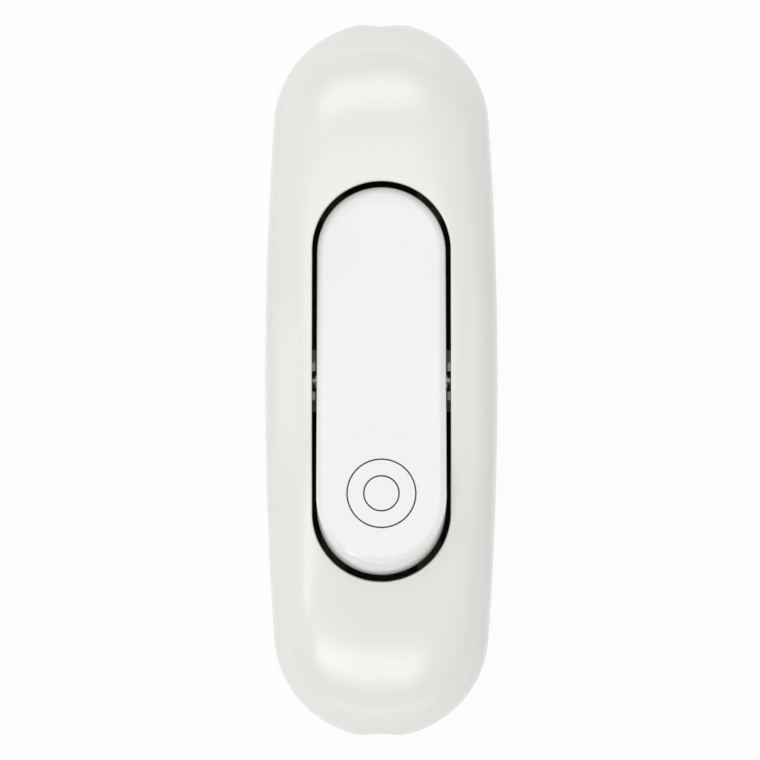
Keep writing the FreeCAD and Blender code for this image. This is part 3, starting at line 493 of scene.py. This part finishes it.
def casing_base_rows(sizes):
    """Surface of the lower casing: from a spine under it out, round, up the wall and back in.

    Its rounding is a quarter circle in each section. The finish of each row is 1 on the inside, in
    painted shade.
    """
    radius, wall = sizes.base_rounding, sizes.wall
    inner = radius - wall
    quarter = np.linspace(0, np.pi / 2, 13)
    inner_quarter = np.linspace(np.pi / 2, 0, 9)

    def level(inset, height):
        plan = outline_columns(sizes, inset)
        return np.concatenate([plan, np.full((len(plan), 1), height)], axis=-1)

    def drawn_in(rim, share):
        """Row between a rim and the spine: across it shrinks to nothing, along to three fifths."""
        return rim * np.array([share, 0.6 + 0.4 * share, 1.0])

    base, floor = level(radius, 0.0), level(radius, wall)
    rows = [drawn_in(base, 0.0), drawn_in(base, 0.5)]
    rows += [level(radius * (1 - np.sin(a)), radius * (1 - np.cos(a))) for a in quarter]
    rows += [level(0.0, sizes.parting - sizes.parting_bevel),
             level(sizes.parting_bevel, sizes.parting)]
    outer = len(rows)
    rows += [level(wall, sizes.parting)]
    rows += [level(wall + inner * (1 - np.sin(a)), wall + inner * (1 - np.cos(a)))
             for a in inner_quarter]
    rows += [drawn_in(floor, 0.5), drawn_in(floor, 0.0)]
    return np.stack(rows), [0] * outer + [1] * (len(rows) - 1 - outer)


def base_holes(sizes):
    """Cutters for the lower casing: two stepped screw holes and the lower half of each cord hole.

    They run on past the surfaces that they cut.
    """
    circle = circle_plan(96)
    head, screw, cord = sizes.head_hole / 2, sizes.screw_hole / 2, sizes.cord_hole / 2
    below, above = -0.001, 0.0045
    near, far = sizes.length / 2 - 0.006, sizes.length / 2 + 0.002
    shells = []
    for way in (-1, 1):
        rows = [(0, below), (head, below), (head, sizes.head_depth), (screw, sizes.head_depth),
                (screw, above), (0, above)]
        shells.append((stacked((0, way * sizes.screw_place, 0), circle, rows), False, True, 0))
        rows = [(0, near), (cord, near), (cord, far), (0, far)]
        along = stacked((0, 0, sizes.parting), circle, rows, "y") * np.array([1, way, 1])
        shells.append((along, False, True, 0))
    return shells


def fitting_shells(sizes, fits):
    """Bosses, pegs, stops, ribs, rims, posts and collars that stand inside the casings."""
    circle = circle_plan(48)
    floor, parting = sizes.wall / 2, sizes.parting
    screw, boss, insert = sizes.screw_hole / 2, sizes.boss / 2, sizes.insert_hole / 2
    peg, post, post_bore = fits.peg / 2, fits.post / 2, fits.post_bore / 2
    stop = block_plan(fits.stop_across, fits.stop_along, 0.0003)
    keeper = block_plan(fits.keeper_across, fits.keeper_along, 0.0002)
    pocket = block_plan(fits.pocket_across, fits.pocket_along, 0.0003)
    pocket_rim = 1.31  # times the pocket's own plan
    peg_bevel, stop_bevel = 0.00025, 0.00013
    shells = []

    def add(plan, across, along, rows, hollow=False):
        shells.append((stacked((across, along, 0), plan, rows), hollow, True, 0))

    for way in (-1, 1):
        add(circle, 0, way * sizes.screw_place,
            [(screw, sizes.head_depth), (boss, sizes.head_depth), (boss, parting), (screw, parting)],
            True)
        add(circle, 0, way * sizes.screw_place,
            [(0, sizes.insert_top), (insert, sizes.insert_top), (insert, parting), (boss, parting),
             (boss, sizes.boss_top), (0, sizes.boss_top)])
        add(circle, 0, way * fits.peg_place,
            [(0, floor), (peg, floor), (peg, fits.peg_top - peg_bevel), (0.8 * peg, fits.peg_top),
             (0, fits.peg_top)])
        add(stop, 0, way * fits.stop_place,
            [(0, floor), (1, floor), (1, fits.stop_top - stop_bevel), (0.9, fits.stop_top),
             (0, fits.stop_top)])
        add(keeper, way * fits.keeper_place, 0,
            [(0, fits.keeper_low), (1, fits.keeper_low), (1, fits.keeper_high), (0, fits.keeper_high)])
        for hand in (-1, 1):
            add(pocket, hand * fits.pocket_right, way * fits.pocket_place,
                [(1, floor), (pocket_rim, floor), (pocket_rim, fits.pocket_top), (1, fits.pocket_top)],
                True)
            add(circle, hand * fits.post_right, way * fits.post_place,
                [(0, floor), (post, floor), (post, fits.post_top), (post_bore, fits.post_top),
                 (post_bore, fits.post_floor), (0, fits.post_floor)])
        shells.append((lower_collar(sizes, way), True, False, 0))
    return shells


def lower_collar(sizes, way):
    """Half tube below the cord's axis, from inside the end wall to the end of the collar.

    It is a rectangle carried round half a turn, drawn shut at both ends.
    """
    hole, outside = sizes.cord_hole / 2, sizes.cord_hole / 2 + sizes.collar
    near, far = sizes.length / 2 - sizes.collar_depth, sizes.length / 2 - 0.002
    angle = np.linspace(np.pi, 2 * np.pi, 41)
    section = np.array([(hole, near), (outside, near), (outside, far), (hole, far)])
    points = np.stack([section[:, None, 0] * np.cos(angle),
                       np.broadcast_to(way * section[:, None, 1], (4, len(angle))),
                       sizes.parting + section[:, None, 0] * np.sin(angle)], axis=-1)
    first = points[:, :1].mean(axis=0, keepdims=True)
    last = points[:, -1:].mean(axis=0, keepdims=True)
    return np.concatenate([np.repeat(first, 4, axis=0), points, np.repeat(last, 4, axis=0)], axis=1)


# Shape of the rocker

def tilted(sizes, points):
    """Points of the rocker turned about its axis to its tilt at rest, and lifted to its height."""
    cos, sin = np.cos(-sizes.tilt), np.sin(-sizes.tilt)
    x, y, z = np.moveaxis(points, -1, 0)
    return np.stack([x, y * cos - z * sin, y * sin + z * cos + sizes.axis], axis=-1)


def rocker_wall(sizes, inset, height):
    """Point and normal of the rocker's wall at a height from its axis, column by column.

    The wall is a round-ended plan turned about the axis, so its ends keep their distance from
    it. With half for the half width less the inset, across is half * cos(fan), and along is the
    root of reach^2 - height^2, where reach is middle + half * sin(fan).
    """
    straight = np.linspace(-1, 1, 120, endpoint=False)
    fan = np.linspace(0, np.pi, 130, endpoint=False)
    share = np.tile(np.concatenate([straight, np.ones_like(fan)]), 2)
    angle = np.tile(np.concatenate([np.zeros_like(straight), fan]), 2)
    way = np.repeat([1.0, -1.0], len(share) // 2)
    half = sizes.width / 2 - inset
    reach = sizes.reach - sizes.width / 2 + half * np.sin(angle)
    along = share * np.sqrt(reach**2 - height**2)
    height = np.broadcast_to(height, along.shape)
    point = np.stack([way * half * np.cos(angle), way * along, height], axis=-1)
    normal = np.stack([way * np.cos(angle), way * np.sin(angle) * along / reach,
                       np.sin(angle) * height / reach], axis=-1)
    return point, normal


def rocker_rows(sizes):
    """Rows of the rocker's cap from the middle of the rings out, over the edge, down and back in.

    A row inside the rings is a circle about their middle. Outside them a row lies a share of the
    way to the flat of the top face. Past it the surface is an arc's middle plus its radius along
    a direction that swings from up to the wall's normal: a large arc, then a small one at the
    edge, where both have the same direction. The material of each row is 1 in the painted grooves.
    """
    up = np.array([0.0, 0.0, 1.0])
    spare = sizes.roll - sizes.rounding
    small, normal = rocker_wall(sizes, sizes.rounding,
                                sizes.crown - sizes.roll + spare * np.cos(sizes.roll_turn))
    swing = np.arccos(normal[:, 2:])

    def direction(turn):
        return (np.sin(swing - turn) * up + np.sin(turn) * normal) / np.sin(swing)

    large = small - spare * direction(sizes.roll_turn)
    edge = large + sizes.roll * up
    ring_middle = np.array([0.0, -sizes.ring_place, sizes.crown])
    ray = (edge - ring_middle) / np.linalg.norm(edge - ring_middle, axis=-1, keepdims=True)
    rows, painted = [], []

    def add(row, paint=0):
        rows.append(row)
        painted.append(paint)

    add(ring_middle + ray * 0)
    for diameter in (sizes.ring_small, sizes.ring_large):
        inner, outer = (diameter - sizes.ring_line) / 2, (diameter + sizes.ring_line) / 2
        lean = sizes.ring_line / 10
        add(ring_middle + ray * inner * 0.8)
        add(ring_middle + ray * inner, 1)
        add(ring_middle + ray * (inner + lean) - up * sizes.ring_depth, 1)
        add(ring_middle + ray * (outer - lean) - up * sizes.ring_depth, 1)
        add(ring_middle + ray * outer)
    start = ring_middle + ray * 1.12 * sizes.ring_large / 2
    for share in np.linspace(0, 1, 8)[:-1]:
        add(start + (edge - start) * share)
    for turn in np.linspace(0, sizes.roll_turn, 11)[:-1]:
        add(large + sizes.roll * direction(turn))
    for share in np.linspace(0, 1, 9):
        add(small + sizes.rounding * direction(sizes.roll_turn + (swing - sizes.roll_turn) * share))
    bevel = sizes.wall / 12
    foot = rows[-1][:, 2]
    for share in np.linspace(0, 1, 12)[1:]:
        add(rocker_wall(sizes, 0.0, foot + (bevel - sizes.skirt - foot) * share)[0])
    add(rocker_wall(sizes, bevel, -sizes.skirt)[0])
    roof = sizes.crown - sizes.roof
    for height in np.linspace(-sizes.skirt, roof, 8):
        add(rocker_wall(sizes, sizes.wall, height)[0])
    under = ring_middle - up * sizes.roof
    add(under + (rows[-1] - under) * 0.5)
    add(under + ray * 0)
    return tilted(sizes, np.stack(rows)), painted[:-1]


def rocker_hub_shells(sizes):
    """Hub with its bore under the roof, and the boss round each pivot pin."""
    circle = circle_plan(64)
    bore, hub = sizes.hub_bore / 2, sizes.hub / 2
    rows = [(0, sizes.bore_top), (bore, sizes.bore_top), (bore, sizes.hub_foot), (hub, sizes.hub_foot),
            (hub, sizes.hub_top), (0, sizes.hub_top)]
    shells = [(tilted(sizes, stacked((0, 0, 0), circle, rows)), False, True, 0)]
    pin, boss = sizes.pin_hole / 2, sizes.pin_boss / 2
    near, far = sizes.width / 2 - sizes.pin_depth, sizes.width / 2 - sizes.wall / 2
    rows = [(pin, near), (boss, near), (boss, far), (pin, far)]
    for way in (-1, 1):
        tube = stacked((0, 0, 0), circle, rows, "x") * np.array([way, 1, 1])
        shells.append((tilted(sizes, tube), True, True, 0))
    return shells


def spring_rows(sizes):
    """Surface of the spring: a small circle carried along a helix.

    The helix is radius * cos(turn), radius * sin(turn) and a height that rises evenly. The circle
    lies square to it, and the ends of the wire are flat.
    """
    turn = np.linspace(0, 2 * np.pi * sizes.turns, 140)[:, None]
    none = np.zeros_like(turn)
    out = np.concatenate([np.cos(turn), np.sin(turn), none], axis=-1)
    slope = sizes.rise / (sizes.radius * turn[-1])
    heading = np.concatenate([-np.sin(turn), np.cos(turn), none + slope], axis=-1)
    side = np.cross(heading, out)
    side /= np.linalg.norm(side, axis=-1, keepdims=True)
    middle = sizes.radius * out + (sizes.foot + sizes.rise * turn / turn[-1]) * (0, 0, 1)
    circle = circle_plan(16) * sizes.wire / 2
    wire = middle[:, None] + circle[:, :1] * out[:, None] + circle[:, 1:] * side[:, None]
    ends = np.repeat(middle[[0, -1], None], len(circle), axis=1)
    return np.concatenate([ends[:1], wire, ends[1:]])


# Materials

def new_material(name):
    """Empty node material with a Principled shader; returns it, its nodes, links and shader."""
    material = bpy.data.materials.new(name)
    material.use_nodes = True
    tree = material.node_tree
    shader = tree.nodes["Principled BSDF"]
    return material, tree.nodes, tree.links, shader


def ramp(nodes, links, source, low, high):
    """Colours or greys spread over the middle of a texture's range."""
    node = nodes.new("ShaderNodeValToRGB")
    for stop, value, place in zip(node.color_ramp.elements, (low, high), (0.3, 0.7)):
        stop.position = place
        stop.color = (*value, 1.0) if np.ndim(value) else (value, value, value, 1.0)
    links.new(source, node.inputs["Fac"])
    return node.outputs["Color"]


def noise(nodes, links, scale, detail, stretch=(1, 1, 1)):
    """Noise on the piece's own coordinates, stretched along its axes."""
    coordinates = nodes.new("ShaderNodeTexCoord")
    mapping = nodes.new("ShaderNodeMapping")
    mapping.inputs["Scale"].default_value = stretch
    links.new(coordinates.outputs["Object"], mapping.inputs["Vector"])
    node = nodes.new("ShaderNodeTexNoise")
    node.inputs["Scale"].default_value = scale
    node.inputs["Detail"].default_value = detail
    links.new(mapping.outputs["Vector"], node.inputs["Vector"])
    return node.outputs["Fac"]


def bump(nodes, links, height, distance, strength):
    """Fine relief from a texture, in metres."""
    node = nodes.new("ShaderNodeBump")
    node.inputs["Distance"].default_value = distance
    node.inputs["Strength"].default_value = strength
    links.new(height, node.inputs["Height"])
    return node.outputs["Normal"]


def moulded_plastic(name, base, gloss, ripple, grain):
    """Plastic: a slow cloud of two near shades, uneven gloss and a ripple left by the mould."""
    material, nodes, links, shader = new_material(name)
    darker = tuple(c * 0.985 for c in base)
    lighter = tuple(min(c * 1.01, 1.0) for c in base)
    cloud = noise(nodes, links, 55.0, 3.0)
    links.new(ramp(nodes, links, cloud, darker, lighter), shader.inputs["Base Color"])
    haze = noise(nodes, links, 240.0, 4.0)
    links.new(ramp(nodes, links, haze, gloss[0], gloss[1]), shader.inputs["Roughness"])
    relief = noise(nodes, links, grain, 2.0)
    links.new(bump(nodes, links, relief, ripple, 0.5), shader.inputs["Normal"])
    shader.inputs["IOR"].default_value = 1.49
    return material


def ring_paint(name, base):
    """Paint in a groove: matt, a little uneven where the brush pooled."""
    material, nodes, links, shader = new_material(name)
    pooled = noise(nodes, links, 1400.0, 3.0)
    thick, thin = tuple(c * 0.7 for c in base), tuple(c * 1.4 for c in base)
    links.new(ramp(nodes, links, pooled, thick, thin), shader.inputs["Base Color"])
    links.new(ramp(nodes, links, pooled, 0.45, 0.65), shader.inputs["Roughness"])
    return material


def worked_metal(name, base, gloss, stretch):
    """Metal with the fine lines of rolling or turning: noise drawn out along one axis."""
    material, nodes, links, shader = new_material(name)
    shader.inputs["Metallic"].default_value = 1.0
    lines = noise(nodes, links, 900.0, 3.0, stretch)
    darker = tuple(c * 0.86 for c in base)
    links.new(ramp(nodes, links, lines, darker, base), shader.inputs["Base Color"])
    links.new(ramp(nodes, links, lines, gloss[0], gloss[1]), shader.inputs["Roughness"])
    links.new(bump(nodes, links, lines, 0.000004, 0.4), shader.inputs["Normal"])
    return material


def casing_gloss():
    """Outside of both casings: made by the first casing that is built, and shared."""
    made = bpy.data.materials.get("casing_gloss")
    base = tuple(bpy.context.scene.switch_finishes.casing)
    return made or moulded_plastic("casing_gloss", base, (0.19, 0.25), 0.000003, 700.0)


def painted_shade_inside():
    """Near-black painted shade on the inside of both casings and on the fittings, shared in the same
    way.
    """
    made = bpy.data.materials.get("painted_shade_inside")
    base = tuple(bpy.context.scene.switch_finishes.inside)
    return made or moulded_plastic("painted_shade_inside", base, (0.5, 0.65), 0.000006, 900.0)


def zinc_steel():
    """Steel of the spring, the pins and the screws, shared in the same way."""
    made = bpy.data.materials.get("zinc_steel")
    base = tuple(bpy.context.scene.switch_finishes.steel)
    return made or worked_metal("zinc_steel", base, (0.26, 0.42), (1, 1, 0.1))


def dress(names, material):
    """Give CAD pieces a material in every slot that they have."""
    for name in names:
        for slot in frame["nodes"][name].material_slots:
            slot.material = material


# Operators

class SWITCH_OT_casing_top(bpy.types.Operator):
    """Build the domed upper casing with its opening and cord holes"""
    bl_idname = "switch.casing_top"
    bl_label = "Upper casing"

    def execute(self, context):
        sizes = context.scene.switch_casing
        rows, finish = casing_top_rows(sizes)
        # Second slot: near-black painted shade for the inside.
        materials = [casing_gloss(), painted_shade_inside()]
        piece = piece_from("casing_top", [(rows, True, True, finish)], materials)
        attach(piece, "casing")
        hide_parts("upper_casing")
        return {"FINISHED"}


class SWITCH_OT_casing_base(bpy.types.Operator):
    """Build the lower casing, and what stands inside both casings"""
    bl_idname = "switch.casing_base"
    bl_label = "Lower casing"

    def execute(self, context):
        sizes = context.scene.switch_casing
        rows, finish = casing_base_rows(sizes)
        # Second slot: near-black painted shade for the inside.
        materials = [casing_gloss(), painted_shade_inside()]
        piece = piece_from("casing_base", [(rows, False, True, finish)], materials)
        cut_out(piece, piece_from("base_holes", base_holes(sizes), [casing_gloss()]))
        shells = fitting_shells(sizes, context.scene.switch_fittings)
        # The fittings take the same near-black painted shade.
        fittings = piece_from("casing_fittings", shells, [painted_shade_inside()])
        for made in (piece, fittings):
            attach(made, "casing")
        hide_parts("lower_casing")
        return {"FINISHED"}


class SWITCH_OT_rocker(bpy.types.Operator):
    """Build the rocker with its two painted rings"""
    bl_idname = "switch.rocker"
    bl_label = "Rocker"

    def execute(self, context):
        sizes = context.scene.switch_rocker
        finishes = context.scene.switch_finishes
        rows, painted = rocker_rows(sizes)
        white = moulded_plastic("rocker_gloss", tuple(finishes.rocker), (0.08, 0.12), 0.000003, 700.0)
        paint = ring_paint("ring_paint", tuple(finishes.rings))
        shells = [(rows, False, True, painted)] + rocker_hub_shells(sizes)
        piece = piece_from("rocker_cap", shells, [white, paint])
        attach(piece, "rocker")
        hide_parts("rocker_button")
        return {"FINISHED"}


class SWITCH_OT_spring(bpy.types.Operator):
    """Build the plunger's spring"""
    bl_idname = "switch.spring"
    bl_label = "Spring"

    def execute(self, context):
        rocker, sizes = context.scene.switch_rocker, context.scene.switch_spring
        rows = tilted(rocker, spring_rows(sizes))
        piece = piece_from("spring_coil", [(rows, False, True, 0)], [zinc_steel()])
        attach(piece, "rocker")
        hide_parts("plunger_spring")
        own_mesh(piece)
        return {"FINISHED"}


class SWITCH_OT_inside(bpy.types.Operator):
    """Give the inner plastic, brass, steel and silver pieces their finishes"""
    bl_idname = "switch.inside"
    bl_label = "Inner pieces"

    def execute(self, context):
        finishes = context.scene.switch_finishes
        inner, brass, silver = tuple(finishes.inner), tuple(finishes.brass), tuple(finishes.silver)
        dress(INNER_NODES, moulded_plastic("inner_matt", inner, (0.42, 0.55), 0.000006, 1500.0))
        dress(BRASS_NODES, worked_metal("stamped_brass", brass, (0.42, 0.58), (1, 0.08, 1)))
        dress(STEEL_NODES, zinc_steel())
        dress(SILVER_NODES, worked_metal("plain_silver", silver, (0.3, 0.45), (1, 1, 1)))
        return {"FINISHED"}


class SWITCH_OT_stage(bpy.types.Operator):
    """Set up the floor, the soft lights and the camera above"""
    bl_idname = "switch.stage"
    bl_label = "Stage"

    def execute(self, context):
        stage = context.scene.switch_stage
        make_floor(stage)
        make_world(context.scene, stage)
        make_lights()
        make_camera(context.scene, stage)
        context.scene.view_settings.view_transform = "Standard"
        return {"FINISHED"}


# Stage

def make_floor(stage):
    """Square floor, white to the camera and in reflections, which keeps the object's shadow."""
    half = stage.floor / 2
    mesh = bpy.data.meshes.new("floor")
    mesh.from_pydata([(-half, -half, 0), (half, -half, 0), (half, half, 0), (-half, half, 0)], [],
                     [(0, 1, 2, 3)])
    floor = bpy.data.objects.new("floor", mesh)
    bpy.context.scene.collection.objects.link(floor)
    material, nodes, links, shader = new_material("pale_floor")
    shader.inputs["Base Color"].default_value = (*stage.floor_colour, 1.0)
    shader.inputs["Roughness"].default_value = 0.9
    shader.inputs["Specular IOR Level"].default_value = 0.0
    glow = nodes.new("ShaderNodeEmission")
    mix = nodes.new("ShaderNodeMixShader")
    share = nodes.new("ShaderNodeMath")
    share.operation = "MULTIPLY"
    share.inputs[1].default_value = stage.floor_glow
    links.new(seen_ray(nodes, links), share.inputs[0])
    links.new(share.outputs[0], mix.inputs["Fac"])
    links.new(shader.outputs["BSDF"], mix.inputs[1])
    links.new(glow.outputs["Emission"], mix.inputs[2])
    links.new(mix.outputs["Shader"], nodes["Material Output"].inputs["Surface"])
    mesh.materials.append(material)


def seen_ray(nodes, links):
    """1 for a ray from the camera, off a gloss or through glass, and 0 for the rest."""
    path = nodes.new("ShaderNodeLightPath")
    result = path.outputs["Is Camera Ray"]
    for name in ("Is Glossy Ray", "Is Transmission Ray"):
        larger = nodes.new("ShaderNodeMath")
        larger.operation = "MAXIMUM"
        links.new(result, larger.inputs[0])
        links.new(path.outputs[name], larger.inputs[1])
        result = larger.outputs[0]
    return result


def make_world(scene, stage):
    """Even light from all round, and a white backdrop to the camera."""
    world = bpy.data.worlds.new("tent")
    world.use_nodes = True
    nodes, links = world.node_tree.nodes, world.node_tree.links
    light = nodes["Background"]
    light.inputs["Color"].default_value = (*stage.world_colour, 1.0)
    light.inputs["Strength"].default_value = stage.world_light
    white = nodes.new("ShaderNodeBackground")
    white.inputs["Color"].default_value = (1.0, 1.0, 1.0, 1.0)
    white.inputs["Strength"].default_value = 1.0
    path = nodes.new("ShaderNodeLightPath")
    mix = nodes.new("ShaderNodeMixShader")
    links.new(path.outputs["Is Camera Ray"], mix.inputs["Fac"])
    links.new(light.outputs["Background"], mix.inputs[1])
    links.new(white.outputs["Background"], mix.inputs[2])
    links.new(mix.outputs["Shader"], nodes["World Output"].inputs["Surface"])
    scene.world = world


def soft_light(name, place, across, along, power):
    """Rectangle lamp that faces the middle of the object."""
    lamp = bpy.data.lights.new(name, "AREA")
    lamp.shape = "RECTANGLE"
    lamp.size, lamp.size_y = across, along
    lamp.energy = power
    made = bpy.data.objects.new(name, lamp)
    made.location = place
    middle = Vector((0, 0, 0.01))
    made.rotation_euler = (middle - Vector(place)).to_track_quat("-Z", "Y").to_euler()
    bpy.context.scene.collection.objects.link(made)


def make_lights():
    """Soft boxes of a light tent: overhead, high and low at both ends, near left, and the sides."""
    soft_light("overhead", (-0.12, 0.32, 1.05), 0.8, 0.8, 4.0)
    soft_light("far_end", (-0.10, 0.83, 0.57), 0.45, 0.24, 1.35)
    soft_light("far_low", (0.0, 1.2, 0.12), 0.9, 0.12, 0.6)
    soft_light("near_end", (-0.12, -0.83, 0.57), 0.50, 0.25, 1.9)
    soft_light("near_low", (0.0, -1.2, 0.12), 0.9, 0.12, 0.8)
    soft_light("near_left", (-0.40, -0.45, 0.85), 0.14, 0.6, 1.0)
    soft_light("left_side", (-0.85, 0.0, 0.45), 0.3, 1.2, 1.2)
    soft_light("right_side", (0.95, 0.0, 0.35), 0.5, 1.2, 1.7)


def make_camera(scene, stage):
    """Camera above the middle, with the far end of the casing at the top of the picture."""
    data = bpy.data.cameras.new("camera")
    data.lens = stage.lens
    data.sensor_width = 36.0
    data.clip_start, data.clip_end = 0.01, 20.0
    camera = bpy.data.objects.new("camera", data)
    camera.location = (stage.camera_right, stage.camera_up, stage.camera_height)
    camera.rotation_euler.x = stage.camera_tilt
    scene.collection.objects.link(camera)
    scene.camera = camera


# Panel and registration

class SWITCH_PT_panel(bpy.types.Panel):
    """Buttons and sizes of the switch"""
    bl_idname = "SWITCH_PT_panel"
    bl_label = "Inline rocker switch"
    bl_space_type = "VIEW_3D"
    bl_region_type = "UI"
    bl_category = "Switch"

    def draw(self, context):
        for operator in OPERATORS:
            self.layout.operator(operator.bl_idname)
        for name in GROUPS:
            group = getattr(context.scene, name)
            box = self.layout.box()
            for prop in group.__annotations__:
                box.prop(group, prop)


OPERATORS = (SWITCH_OT_casing_top, SWITCH_OT_casing_base, SWITCH_OT_rocker, SWITCH_OT_spring,
             SWITCH_OT_inside, SWITCH_OT_stage)
GROUPS = {"switch_casing": CasingSizes, "switch_fittings": FittingSizes,
          "switch_rocker": RockerSizes, "switch_spring": SpringSizes,
          "switch_finishes": Finishes, "switch_stage": StageSizes}


def register():
    for part in (*GROUPS.values(), *OPERATORS, SWITCH_PT_panel):
        bpy.utils.register_class(part)
    for name, group in GROUPS.items():
        setattr(bpy.types.Scene, name, PointerProperty(type=group))


def unregister():
    for name in GROUPS:
        delattr(bpy.types.Scene, name)
    for part in (SWITCH_PT_panel, *reversed(OPERATORS), *reversed(list(GROUPS.values()))):
        bpy.utils.unregister_class(part)


def main():
    register()
    bpy.ops.switch.casing_top()
    bpy.ops.switch.casing_base()
    bpy.ops.switch.rocker()
    bpy.ops.switch.spring()
    bpy.ops.switch.inside()
    bpy.ops.switch.stage()


if __name__ == "__main__":
    main()
